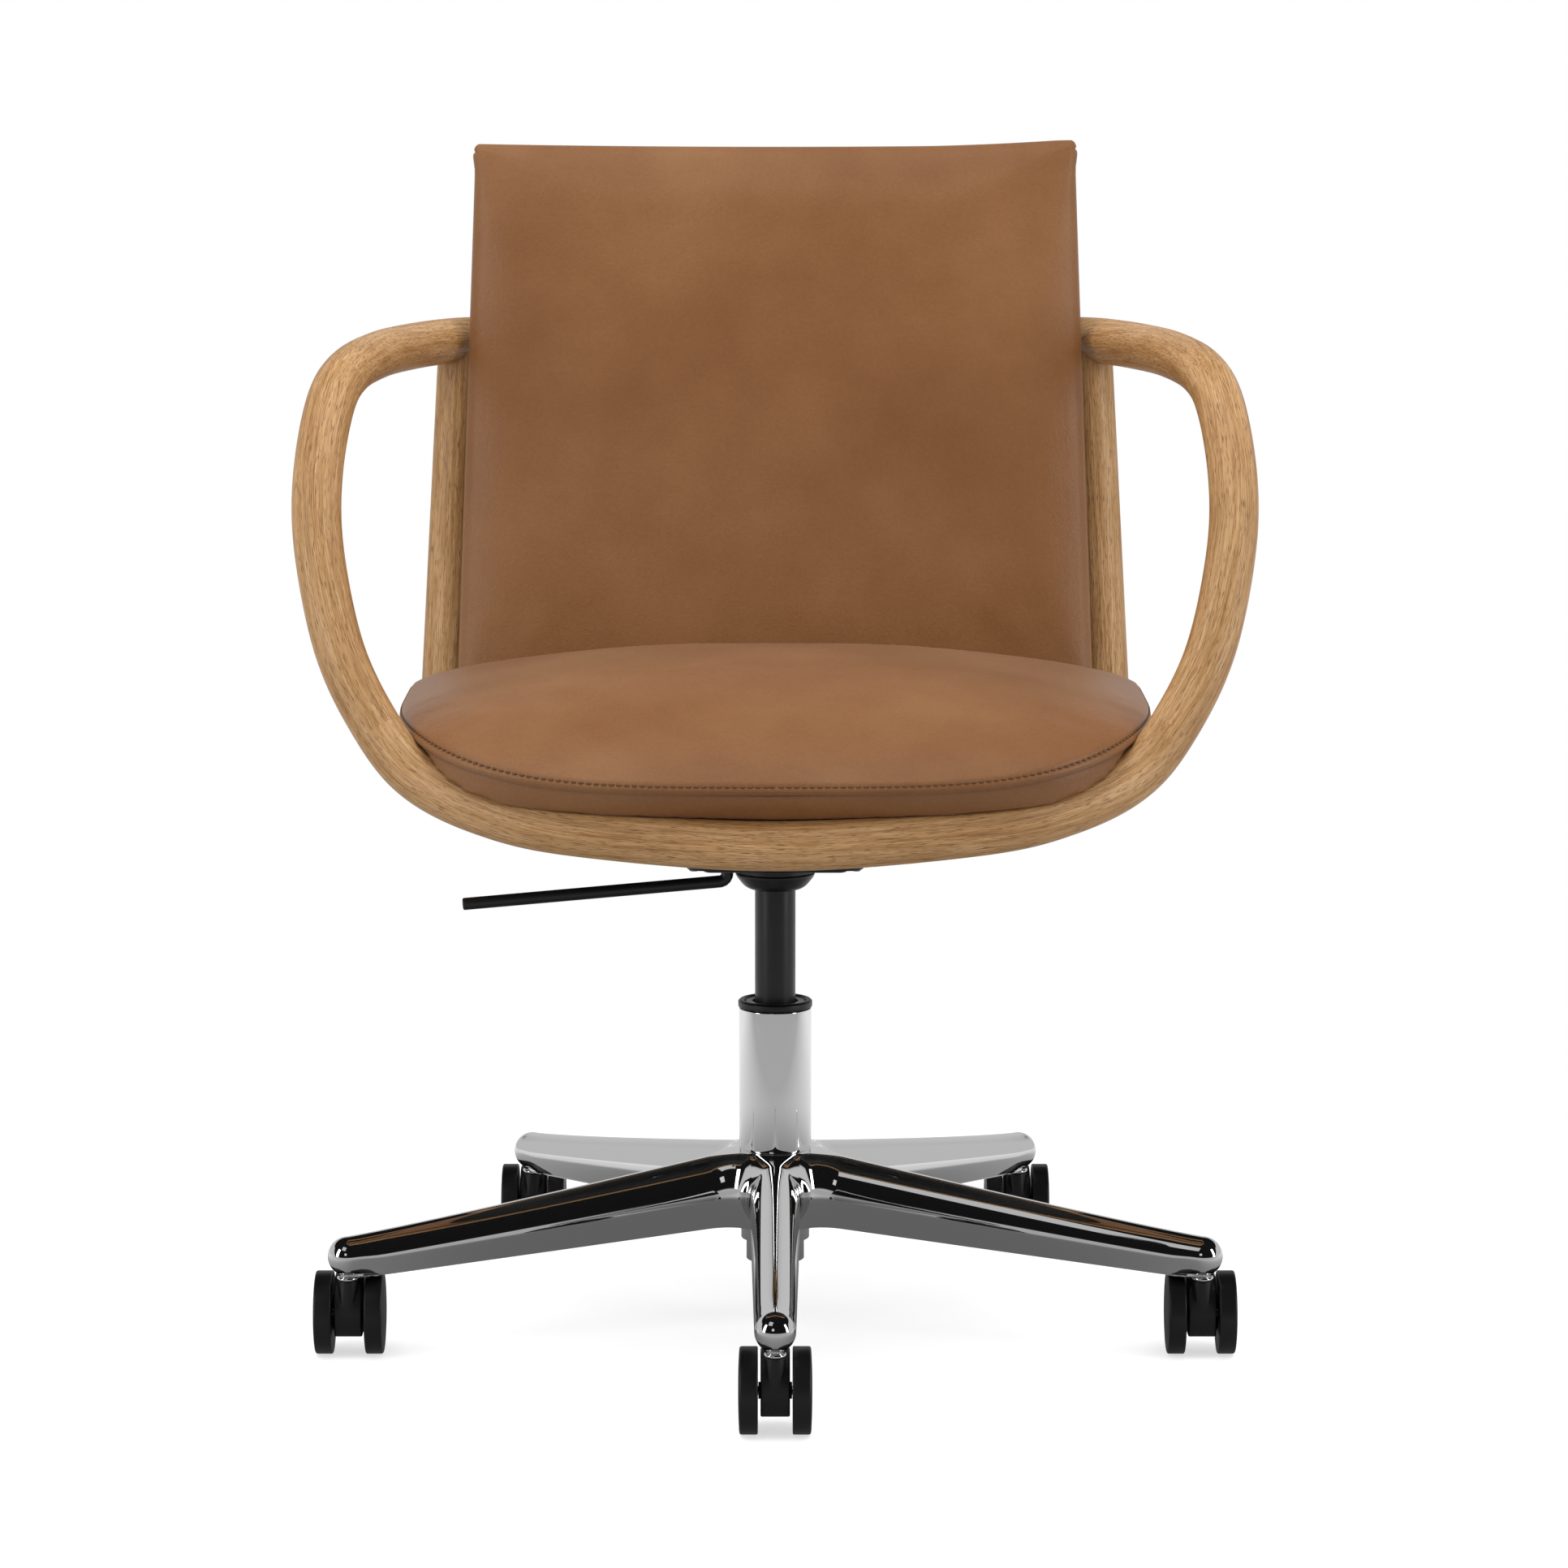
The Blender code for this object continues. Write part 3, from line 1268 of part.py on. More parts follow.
def add_back_fixing(panel, number, side, axis):
    """A boss behind the panel, beside the post, and the screw through it into the post."""
    face = axis.x - WOOD_RADIUS - GAP
    end = face - BACK_BOSS_LENGTH
    rings = []
    for z in (axis.z - BACK_BOSS_HALF_HEIGHT, axis.z + BACK_BOSS_HALF_HEIGHT):
        near = back_plane_y(z) - BACK_PANEL_THICKNESS / 2
        far = back_plane_y(z) + BACK_BOSS_DEPTH
        corners = ((end, near), (face, near), (face, far), (end, far))
        rings.append([Vector((side * x, y, z)) for x, y in corners])
    boss = add_cutter(f"back_boss_{number}", add_loft(bmesh.new(), rings))
    boolean(panel, boss, "UNION")

    y = back_plane_y(axis.z) + BACK_BOSS_DEPTH / 2
    tip = axis.x - WOOD_RADIUS + BACK_SCREW_BITE
    turn = Matrix.Rotation(math.radians(-90 * side), 4, "Y")
    place = Matrix.Translation((side * tip, y, axis.z)) @ turn
    under_head = tip - end + GAP
    profile = [
        (0, 0),
        (BACK_SCREW_RADIUS, 0),
        (BACK_SCREW_RADIUS, under_head),
        (SCREW_HEAD_RADIUS, under_head),
        (SCREW_HEAD_RADIUS, under_head + SCREW_HEAD_HEIGHT * 0.6),
        (SCREW_HEAD_RADIUS * 0.7, under_head + SCREW_HEAD_HEIGHT),
        (0, under_head + SCREW_HEAD_HEIGHT),
    ]
    screw = add_turned(bmesh.new(), profile, 8, place, closed=False)
    add_object(f"back_screw_{number}", screw, STEEL)

    low = place @ Vector((0, 0, -GAP))
    high = place @ Vector((0, 0, under_head + SCREW_HEAD_HEIGHT))
    hole = add_rod(bmesh.new(), low, high, BACK_SCREW_RADIUS + GAP, 8)
    drill = add_cutter(f"back_drill_{number}", hole)
    boolean(panel, drill)
    label = "left" if side > 0 else "right"
    boolean(bpy.data.objects[f"back_post_{label}"], drill)


def main():
    for thing in list(bpy.data.objects):
        bpy.data.objects.remove(thing)
    build_casters()
    build_base_star()
    build_stand_tube()
    build_guide_bush()
    build_collar()
    build_gas_spring()
    build_mounting_plate()
    build_plate_hub()
    build_lever()
    build_plate_screws()
    build_frame()
    build_seat_pan()
    join_frame()
    build_seat_cushion()
    build_back()


main()
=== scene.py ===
"""The task chair's looks: an oak loop frame, tan leather, a gas lift and a polished star base.

Metres, +Z up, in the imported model's frame. The sizes repeat those of the solids that each
piece stands for.
"""

import functools
import math

import bmesh
import bpy
import numpy as np
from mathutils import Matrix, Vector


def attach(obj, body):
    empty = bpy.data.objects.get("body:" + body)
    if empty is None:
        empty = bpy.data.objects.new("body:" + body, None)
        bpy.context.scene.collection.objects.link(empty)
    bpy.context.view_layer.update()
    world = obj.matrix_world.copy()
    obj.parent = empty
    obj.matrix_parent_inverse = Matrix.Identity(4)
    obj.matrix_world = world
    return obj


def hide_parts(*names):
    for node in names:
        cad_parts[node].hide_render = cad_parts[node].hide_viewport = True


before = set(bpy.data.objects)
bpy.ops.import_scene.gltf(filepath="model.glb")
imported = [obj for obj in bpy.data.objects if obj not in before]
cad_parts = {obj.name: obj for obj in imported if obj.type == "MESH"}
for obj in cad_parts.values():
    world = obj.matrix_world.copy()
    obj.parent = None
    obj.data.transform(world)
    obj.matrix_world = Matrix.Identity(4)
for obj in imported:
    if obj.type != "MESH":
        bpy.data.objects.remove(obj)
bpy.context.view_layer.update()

GAP = 0.0003
TAU = 2 * math.pi

# Oak frame
WOOD_RADIUS = 0.0165
LOOP_POINTS = np.array([
    (0.0, -0.2, 0.3692),
    (0.13084, -0.189, 0.37727),
    (0.19259, -0.168, 0.38802),
    (0.23783, -0.142, 0.40715),
    (0.26596, -0.126, 0.44031),
    (0.2895, -0.113, 0.48782),
    (0.30356, -0.094, 0.55057),
    (0.3057, -0.075, 0.59778),
    (0.29989, -0.038, 0.6438),
    (0.29164, 0.015, 0.66232),
    (0.27819, 0.105, 0.668),
    (0.26198, 0.192, 0.668),
    (0.24211, 0.248, 0.668),
    (0.22072, 0.275, 0.668),
    (0.15896, 0.2925, 0.668),
    (0.08009, 0.299, 0.668),
    (0.0, 0.3, 0.668),
])
LOWER_SPLICE = 3.7
UPPER_SPLICE = 8.45
REAR_SPLICE = 14.0
POST_TOP = np.array((0.22894, 0.26760, 0.65612))
POST_FOOT = np.array((0.24294, 0.22215, 0.3692))
POST_LEAN = math.radians(9.0)
REAR_BEND = 0.040
REAR_SPLICE_RISE = 0.012
FINGER_LENGTH = 0.016
FINGER_WIDTH = 0.009

# Seat
SEAT_HALF_WIDTH = 0.2565
SEAM_HALF_WIDTH = 0.2545
SEAM_FULLNESS = 3.8
SEAT_MIDDLE_Y = 0.050
SEAM_FRONT_Y = -0.2220
SEAT_REAR_Y = 0.17372
SEAM_Z = 0.4107
SEAM_LIFT = (0.029347, -0.004540, -0.003596, 0.000954)
SEAM_PEAK = 0.0261
SEAM_STRIP = 0.0078
LEAN_TURNS = (0.0, 0.1, 0.2, 0.4, 0.6, 0.72, 0.84, 0.95, 1.05, 1.2)
LEANS = (0.07, 0.42, 0.60, 0.80, 0.88, 0.88, 0.50, 0.10, -0.40, -0.90)
SEAT_CROWN = 0.0605
REAR_FULLNESS = 4.0
PANEL_DRAW_IN = 0.044
PANEL_DRAW_IN_REAR = 0.006
PAN_FLOOR = 0.3468
PAN_RIM_TOP = 0.3742
PAN_FLAT_SHARE = 0.60
PAN_THICKNESS = 0.010
PAN_FRONT_Y = -0.1827
PAN_REAR_Y = 0.20535
PAN_RIM_REACH = 0.004
PAN_SHARES = (0.0, 0.3, 0.6, 0.7, 0.8, 0.9, 0.97)
LEATHER_OFF_WOOD = 0.0006
ARC_START = -0.9
ARC_OFF_WOOD = 0.0008
BEND_DROP = 0.022
BEND_INSET = 0.004
HOLD_END = 1.15
HOLD_SPAN = 0.30
SIDE_BULGE = 0.0018
STRIP_SWELL = 0.0027
CREASE_DEPTH = 0.0007
STITCH_PITCH = 0.0050
STITCH_LIFT = 0.0006
STITCH_HALF_LENGTH = 0.00195
STITCH_RADIUS = 0.00076
SEWN_RISE = 0.004

# Back
BACK_TOP = 0.8085
BACK_LIFT = 0.0015
BACK_CORNER_LIFT = 0.0028
BACK_CORNER = 0.0042
BACK_BOTTOM = 0.4010
BACK_TOP_HALF_WIDTH = 0.21654
BACK_SPREAD = 0.0135
PANEL_THICKNESS = 0.0080
PANEL_INSET = 0.0045
PAD_EDGE = 0.0080
PAD_CROWN = 0.0180
BACK_TOP_DIP = 0.0020
FREE_DEPTH = 0.003
BOSS_HEIGHTS = (0.44885, 0.57500)

# Base and casters
CASTER_COUNT = 5
BASE_RADIUS = 0.305
WHEEL_RADIUS = 0.0284
CASTER_TRAIL = 0.0155
CASTER_BODY_WIDTH = 0.019
CASTER_SIDE_GAP = 0.0017
CASTER_BODY_RADIUS = 0.0245
CASTER_BODY_BACK = 0.0022
CASTER_BODY_RISE = 0.0026
CASTER_BODY_LIFT = 0.015
SOCKET_RADIUS = 0.0066
SOCKET_TOP = 0.0543
LEG_TIP_RADIUS = 0.0135
LEG_TIP_BOTTOM = 0.0575
LEG_ROOT_TOP = 0.1262
LEG_ROOT_BOTTOM = 0.0760
LEG_ROOT_RADIUS = 0.030
LEG_SIDE = 0.0175
LEG_WALL = 0.0055
VALLEY_RADIUS = 0.0433
HOLLOW_END = 0.288
NOSE_START = 0.283
NOSE_FLAT = 0.0068
HUB_TOP_RADIUS = 0.0262
HUB_BORE_RADIUS = 0.0330
BALL_WALL_START = 0.55
LEVER_TIP_SOFT = 0.0010

# Camera and stage
LENS_MM = 126.45
SENSOR_MM = 36.0
SHIFT_X = 0.0056
CAMERA_PLACE = (0.0, -3.744, 0.929)
CAMERA_DOWN_DEG = 8.33
FLOOR_HALF = 6.0


# Node helpers

def linear(colour):
    """An sRGB hex colour as the linear values that shaders take."""
    parts = np.array([int(colour[i:i + 2], 16) for i in (1, 3, 5)]) / 255
    values = np.where(parts <= 0.04045, parts / 12.92, ((parts + 0.055) / 1.055) ** 2.4)
    return (*values, 1.0)


def add_node(tree, kind, inputs=None, **settings):
    """Add one node; inputs gives each socket a value, an output to link, or a node to link.

    A node given as it is stands for its first output.
    """
    made = tree.nodes.new(f"ShaderNode{kind}")
    for name, value in settings.items():
        setattr(made, name, value)
    for socket, value in (inputs or {}).items():
        if isinstance(value, bpy.types.Node):
            value = value.outputs[0]
        if isinstance(value, bpy.types.NodeSocket):
            tree.links.new(value, made.inputs[socket])
        else:
            made.inputs[socket].default_value = value
    return made


def start_tree(owner):
    """Empty a material's or the world's tree; returns add_node for that tree."""
    owner.use_nodes = True
    owner.node_tree.nodes.clear()
    return functools.partial(add_node, owner.node_tree)


def start_material(name):
    """A new material and add_node for its empty tree."""
    material = bpy.data.materials.new(name)
    return material, start_tree(material)


def finish_material(material, shader):
    """The material with a shader on its surface."""
    add_node(material.node_tree, "OutputMaterial", {"Surface": shader})
    return material


def ramp(add, factor, stops):
    """A colour ramp through (place, hex) stops."""
    made = add("ValToRGB", {"Fac": factor})
    elements = made.color_ramp.elements
    while len(elements) < len(stops):
        elements.new(0.5)
    for element, (place, colour) in zip(elements, stops):
        element.position = place
        element.color = linear(colour)
    return made.outputs["Color"]


# Materials

def planks(add, place):
    """Move the grain on at each splice, whose edge steps to and fro in fingers.

    place is (length from the front's middle, two places across); the plank's number is how many
    splices lie behind length + finger, with finger = +-FINGER_LENGTH / 2 by bands across.
    """
    parts = add("SeparateXYZ", {"Vector": place})
    band = add("Math", {0: parts.outputs["Z"], 1: math.pi / FINGER_WIDTH}, operation="MULTIPLY")
    wave = add("Math", {0: band}, operation="SINE")
    step = add("Math", {0: wave}, operation="SIGN")
    length = add("Math", {0: parts.outputs["X"]}, operation="ABSOLUTE")
    reach = add("Math", {0: step, 1: FINGER_LENGTH / 2, 2: length}, operation="MULTIPLY_ADD")
    number = None
    for splice in SPLICES:
        past = add("Math", {0: reach, 1: splice}, operation="GREATER_THAN")
        number = past if number is None else add("Math", {0: number, 1: past}, operation="ADD")
    side = add("Math", {0: parts.outputs["X"]}, operation="SIGN")
    plank = add("Math", {0: number, 1: side}, operation="MULTIPLY")
    return add("VectorMath", {0: plank, 1: (3.1, 0.047, 0.031), 2: place}, operation="MULTIPLY_ADD")


def oiled_oak():
    """Steam-bent oak, oiled: straight grain along each member, open pores, satin."""
    material, add = start_material("oiled_oak")
    place = add("Attribute", attribute_name="grain").outputs["Vector"]
    grain = planks(add, place)
    # growth rings show as wavy bands about 5 mm apart, drawn out along the member
    drift = add("Mapping", {"Vector": grain, "Scale": (7, 60, 60)})
    warp = add("TexNoise", {"Vector": drift, "Scale": 1.0, "Detail": 2.0, "Roughness": 0.5})
    parts = add("SeparateXYZ", {"Vector": grain})
    across = add("Math", {0: parts.outputs["Y"], 1: 1150.0}, operation="MULTIPLY")
    phase = add("Math", {0: warp, 1: 17.0, 2: across}, operation="MULTIPLY_ADD")
    rings = add("Math", {0: phase}, operation="SINE")
    # fine fibres about 0.5 mm across and 25 mm long
    fibre_space = add("Mapping", {"Vector": grain, "Scale": (34, 1300, 1300)})
    fibre = add("TexNoise", {"Vector": fibre_space, "Scale": 1.0, "Detail": 3.0, "Roughness": 0.62})
    # open pores: dark dashes 6 mm long
    pore_space = add("Mapping", {"Vector": grain, "Scale": (130, 1900, 1900)})
    pore = add("TexNoise", {"Vector": pore_space, "Scale": 1.0, "Detail": 1.0, "Roughness": 0.5})
    pores = add("MapRange", {
        "Value": pore, "From Min": 0.57, "From Max": 0.69, "To Min": 0.0, "To Max": 1.0,
    })
    # broad light and dark areas along the plank
    area_space = add("Mapping", {"Vector": grain, "Scale": (9, 70, 70)})
    area = add("TexNoise", {"Vector": area_space, "Scale": 1.0, "Detail": 1.0})
    tone = add("Math", {0: rings, 1: 0.055, 2: fibre}, operation="MULTIPLY_ADD")
    tone = add("Math", {0: area, 1: 0.42, 2: tone}, operation="MULTIPLY_ADD")
    colour = ramp(add, tone, [
        (0.40, "#84582e"), (0.58, "#a67a48"), (0.73, "#b98d5a"), (0.93, "#caa375"),
    ])
    darker = add("Mix", {
        "Factor": pores, "A": colour, "B": linear("#805830"),
    }, data_type="RGBA", blend_type="MIX")
    height = add("Math", {0: pores, 1: -0.6, 2: fibre}, operation="MULTIPLY_ADD")
    bump = add("Bump", {"Height": height, "Strength": 0.22, "Distance": 0.0004})
    rough = add("MapRange", {
        "Value": fibre, "From Min": 0.3, "From Max": 0.7, "To Min": 0.46, "To Max": 0.58,
    })
    shader = add("BsdfPrincipled", {
        "Base Color": darker.outputs["Result"], "Roughness": rough,
        "Normal": bump, "IOR": 1.5, "Coat Weight": 0.12, "Coat Roughness": 0.30,
    })
    return finish_material(material, shader)


def tan_leather():
    """Aniline-dyed cow hide: warm tan, cloudy, with fine grain and a soft satin sheen."""
    material, add = start_material("tan_leather")
    place = add("TexCoord").outputs["Object"]
    cloud = add("TexNoise", {"Vector": place, "Scale": 9.0, "Detail": 3.0, "Roughness": 0.55})
    fleck = add("TexNoise", {"Vector": place, "Scale": 420.0, "Detail": 2.0, "Roughness": 0.6})
    tone = add("Math", {0: fleck, 1: 0.35, 2: cloud}, operation="MULTIPLY_ADD")
    colour = ramp(add, tone, [
        (0.45, "#7d5029"), (0.68, "#855830"), (0.92, "#8e6138"),
    ])
    # the hide's cells are about 1.6 mm across; creases run between them
    cells = add("TexVoronoi", {"Vector": place, "Scale": 600.0, "Randomness": 1.0}, feature="F1")
    wrinkle_space = add("Mapping", {"Vector": place, "Scale": (210.0, 210.0, 80.0)})
    wrinkle = add("TexNoise", {
        "Vector": wrinkle_space, "Scale": 1.0, "Detail": 3.0, "Roughness": 0.6,
    })
    height = add("Math", {0: cells, 1: -0.5, 2: wrinkle}, operation="MULTIPLY_ADD")
    bump = add("Bump", {"Height": height, "Strength": 0.45, "Distance": 0.0006})
    rough = add("MapRange", {
        "Value": cloud, "From Min": 0.3, "From Max": 0.7, "To Min": 0.40, "To Max": 0.50,
    })
    shader = add("BsdfPrincipled", {
        "Base Color": colour, "Roughness": rough, "Normal": bump,
        "IOR": 1.48, "Sheen Weight": 0.09, "Sheen Roughness": 0.45,
    })
    return finish_material(material, shader)


def polished_metal(name, colour, roughness, ripple):
    """Bright metal: a mirror with faint polishing ripples a few centimetres long."""
    material, add = start_material(name)
    place = add("TexCoord").outputs["Object"]
    wave = add("TexNoise", {"Vector": place, "Scale": 30.0, "Detail": 1.0})
    bump = add("Bump", {"Height": wave, "Strength": ripple, "Distance": 0.001})
    haze = add("TexNoise", {"Vector": place, "Scale": 140.0, "Detail": 4.0})
    rough = add("MapRange", {
        "Value": haze, "From Min": 0.3, "From Max": 0.7,
        "To Min": roughness * 0.7, "To Max": roughness * 1.4,
    })
    shader = add("BsdfPrincipled", {
        "Base Color": linear(colour), "Metallic": 1.0, "Roughness": rough,
        "Normal": bump,
    })
    return finish_material(material, shader)


def moulded(name, colour, roughness, grit, strength, metallic=0.0):
    """Moulded nylon or powder coat: an even colour over a fine grit of the given size in metres."""
    material, add = start_material(name)
    place = add("TexCoord").outputs["Object"]
    speck = add("TexNoise", {"Vector": place, "Scale": 1.0 / grit, "Detail": 2.0, "Roughness": 0.6})
    bump = add("Bump", {"Height": speck, "Strength": strength, "Distance": grit * 0.5})
    rub = add("TexNoise", {"Vector": place, "Scale": 60.0, "Detail": 3.0})
    rough = add("MapRange", {
        "Value": rub, "From Min": 0.3, "From Max": 0.7,
        "To Min": roughness - 0.04, "To Max": roughness + 0.04,
    })
    shader = add("BsdfPrincipled", {
        "Base Color": linear(colour), "Metallic": metallic, "Roughness": rough,
        "Normal": bump,
    })
    return finish_material(material, shader)


def thread_darkened_by_painted_shade():
    """Twisted polyester thread, sunk in the hide; its brown is darkened with painted shade of the
    groove it lies in.
    """
    material, add = start_material("thread_darkened_by_painted_shade")
    place = add("TexCoord").outputs["Object"]
    twist = add("TexNoise", {"Vector": place, "Scale": 1800.0, "Detail": 1.0})
    # the thread's own brown, darkened with painted shade of its groove
    colour = ramp(add, twist, [(0.35, "#583720"), (0.65, "#7a5230")])
    shader = add("BsdfPrincipled", {"Base Color": colour, "Roughness": 0.55})
    return finish_material(material, shader)


LEATHER = tan_leather()
THREAD = thread_darkened_by_painted_shade()
ALUMINIUM = polished_metal("polished_aluminium", "#dcdcdd", 0.035, 0.015)
CHROME = polished_metal("chrome_plate", "#e4e4e5", 0.04, 0.004)
STEEL = polished_metal("zinc_steel", "#b9bbbd", 0.22, 0.02)
NYLON = moulded("black_nylon", "#0b0b0c", 0.42, 0.0005, 0.08)
POWDER = moulded("black_powder_coat", "#141415", 0.38, 0.0006, 0.10)
CYLINDER_BLACK = moulded("burnished_black_steel", "#2b2b2c", 0.36, 0.0008, 0.05, 0.4)
WASHER_GREY = moulded("grey_acetal", "#77787a", 0.38, 0.0006, 0.05)
BOARD_BLACK = moulded("black_stained_ply", "#1f1c1a", 0.62, 0.0012, 0.25)


# Surface helpers

def add_object(name, data):
    """A new object in the scene."""
    made = bpy.data.objects.new(name, data)
    bpy.context.scene.collection.objects.link(made)
    return made


def mesh_points(mesh):
    """A mesh's points, one row each."""
    places = np.empty(len(mesh.vertices) * 3, np.float32)
    mesh.vertices.foreach_get("co", places)
    return places.reshape(-1, 3)


def smooth(share):
    """A share from 0 to 1 with a soft start and a soft end."""
    share = np.clip(share, 0, 1)
    return share * share * (3 - 2 * share)


def circle(sides, first=0.0):
    """Angles at even spacing round a circle; first counts in spacings."""
    return (np.arange(sides) + first) * TAU / sides


def grid_faces(rows, columns, around, along):
    """Corner rows and columns of every quad of a grid, before wrapping."""
    r = np.arange(rows if along else rows - 1)
    c = np.arange(columns if around else columns - 1)
    r, c = (a.ravel() for a in np.meshgrid(r, c, indexing="ij"))
    return np.stack([r, r, r + 1, r + 1], 1), np.stack([c, c + 1, c + 1, c], 1)


def make_piece(name, grids, material, sharp=40.0, grain=None):
    """One mesh from grids of points, each (points, around, along): quads between neighbours.

    Points that coincide are merged, holes that are left are capped, and faces point outwards.
    """
    points, faces, start = [], [], 0
    for grid, around, along in grids:
        rows, columns = grid.shape[:2]
        r, c = grid_faces(rows, columns, around, along)
        faces.append(start + (r % rows) * columns + c % columns)
        points.append(grid.reshape(-1, 3))
        start += rows * columns
    points = np.concatenate(points)
    mesh = bpy.data.meshes.new(name)
    mesh.from_pydata(points.tolist(), [], np.concatenate(faces).tolist())
    if grain is not None:
        layer = mesh.attributes.new("grain", "FLOAT_VECTOR", "POINT")
        layer.data.foreach_set("vector", grain.reshape(-1).astype(np.float32))
    work = bmesh.new()
    work.from_mesh(mesh)
    bmesh.ops.remove_doubles(work, verts=work.verts, dist=1e-6)
    bmesh.ops.dissolve_degenerate(work, edges=work.edges, dist=1e-7)
    bmesh.ops.holes_fill(work, edges=[e for e in work.edges if e.is_boundary])
    bmesh.ops.recalc_face_normals(work, faces=work.faces)
    work.to_mesh(mesh)
    work.free()
    mesh.shade_smooth()
    mesh.set_sharp_from_angle(angle=math.radians(sharp))
    mesh.materials.append(material)
    return add_object(name, mesh)


def carve(piece, joined=(), removed=()):
    """Join some pieces to a piece and cut others out of it; only the piece remains."""
    for tool in (*joined, *removed):
        cut = piece.modifiers.new(tool.name, "BOOLEAN")
        cut.operation = "UNION" if tool in joined else "DIFFERENCE"
        cut.solver, cut.object = "EXACT", tool
    graph = bpy.context.evaluated_depsgraph_get()
    shape = bpy.data.meshes.new_from_object(piece.evaluated_get(graph))
    piece.modifiers.clear()
    piece.data = shape
    for tool in (*joined, *removed):
        bpy.data.objects.remove(tool)
    shape.shade_smooth()
    shape.set_sharp_from_angle(angle=math.radians(40))
    return piece


def settle(piece, body, slot, *nodes):
    """Ride on a body and stand for CAD nodes, which are hidden; slot is not used."""
    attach(piece, body)
    if nodes:
        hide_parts(*nodes)
    return piece


def rounded(points, radius, steps=5):
    """A polyline whose inner corners are cut back by a radius and carried round in a parabola."""
    p = np.array(points, float)
    before, corner, after = p[:-2], p[1:-1], p[2:]
    radius = np.broadcast_to(radius, len(corner))[:, None]

    def toward(other):
        step = other - corner
        length = np.linalg.norm(step, axis=1, keepdims=True)
        return corner + step / length * np.minimum(radius, length * 0.48)

    t = np.linspace(0, 1, steps)[None, :, None]
    start, end = toward(before)[:, None], toward(after)[:, None]
    arcs = start * (1 - t) ** 2 + 2 * corner[:, None] * t * (1 - t) + end * t * t
    return np.concatenate([p[:1], arcs.reshape(-1, 2), p[-1:]])


def turned_grid(profile, centre=(0, 0, 0), axis="Z", sides=96, flip=1):
    """A profile of (radius, height) carried round an axis: rows along it, columns around it."""
    profile = np.array(profile, float)
    angle = circle(sides)
    radius, height = profile[:, :1], profile[:, 1:]
    a, b = radius * np.cos(angle), radius * np.sin(angle)
    h = np.broadcast_to(height * flip, a.shape)
    parts = (a, b, h) if axis == "Z" else (h, a, b)
    return np.stack(parts, -1) + np.array(centre, float)


def unit(vectors):
    """Vectors at length one."""
    return vectors / np.linalg.norm(vectors, axis=-1, keepdims=True)


def swept_grid(path, tangents, section, reference, scale=None):
    """A closed section carried along a path, turned to a fixed reference direction.

    A point is path + side * x + up * y, with side = tangent x reference and up = side x tangent.
    """
    side = unit(np.cross(tangents, np.array(reference, float)))
    up = np.cross(side, tangents)
    x, y = section[:, 0], section[:, 1]
    scale = np.ones(len(path)) if scale is None else scale
    reach = side[:, None] * x[None, :, None] + up[:, None] * y[None, :, None]
    return path[:, None] + reach * scale[:, None, None]


def path_tangents(path):
    """Directions of travel along an open path, by central differences."""
    return unit(np.gradient(path, axis=0))


def resample(path, step):
    """Points of a polyline at even spacing, both ends included."""
    run = np.concatenate([[0], np.cumsum(np.linalg.norm(np.diff(path, axis=0), axis=1))])
    places = np.linspace(0, run[-1], max(2, round(run[-1] / step)) + 1)
    return np.stack([np.interp(places, run, path[:, k]) for k in range(path.shape[1])], 1)


# Oak members

def loop_curve(stations):
    """The loop's centreline on the +X side: a Catmull-Rom curve through LOOP_POINTS."""
    mirror = np.array((-1, 1, 1))
    ends = [LOOP_POINTS[1:2] * mirror, LOOP_POINTS, LOOP_POINTS[-2:-1] * mirror]
    p = np.concatenate(ends)
    i = np.clip(stations.astype(int), 0, len(LOOP_POINTS) - 2)
    t = (stations - i)[:, None]
    a, b, c, d = p[i], p[i + 1], p[i + 2], p[i + 3]
    cubic = (3 * b - a - 3 * c + d) * t ** 3 + (2 * a - 5 * b + 4 * c - d) * t ** 2
    return 0.5 * (2 * b + (c - a) * t + cubic)


def whole_loop(step, blur=0.007):
    """The closed loop at even spacing, its bumps evened out by a Gaussian along its length."""
    half = loop_curve(np.linspace(0, len(LOOP_POINTS) - 1, 4000))
    other = (half * (-1, 1, 1))[::-1]
    loop = resample(np.concatenate([half, other[1:]]), step)[:-1]
    waves = np.fft.rfft(loop, axis=0)
    pitch = np.fft.rfftfreq(len(loop), step)[:, None]
    return np.fft.irfft(waves * np.exp(-2 * (math.pi * blur * pitch) ** 2), len(loop), axis=0)


def loop_marks(loop):
    """Where along the loop its three splices on the +X side lie."""
    marks = loop_curve(np.array((LOWER_SPLICE, UPPER_SPLICE, REAR_SPLICE)))
    return [int(np.argmin(np.linalg.norm(loop - mark, axis=1))) for mark in marks]


LOOP_STEP = 0.002
LOOP = whole_loop(LOOP_STEP)
LOOP_WAYS = unit(np.roll(LOOP, -1, 0) - np.roll(LOOP, 1, 0))
SPLICES = [mark * LOOP_STEP for mark in loop_marks(LOOP)]
OAK = oiled_oak()


def wood_section(sides=40):
    """A round section with the faintest ridges, as spindle-moulded oak keeps after sanding."""
    angle = circle(sides, 0.5)
    radius = WOOD_RADIUS * (1 + 0.006 * np.cos(4 * angle + 0.6))
    return np.stack([radius * np.cos(angle), radius * np.sin(angle)], 1)


def wood_piece(name, path, start, tangents=None, reference=(0.3, -0.75, 0.6)):
    """A member along a path; its grain attribute is (length along, two places across)."""
    tangents = path_tangents(path) if tangents is None else tangents
    section = wood_section()
    grid = swept_grid(path, tangents, section, reference)
    steps = np.linalg.norm(np.diff(path, axis=0), axis=1)
    grain = np.empty(grid.shape)
    grain[..., 0] = (start + np.concatenate([[0], np.cumsum(steps)]))[:, None]
    grain[..., 1:] = section
    return make_piece(name, [(grid, True, False)], OAK, 50.0, grain)


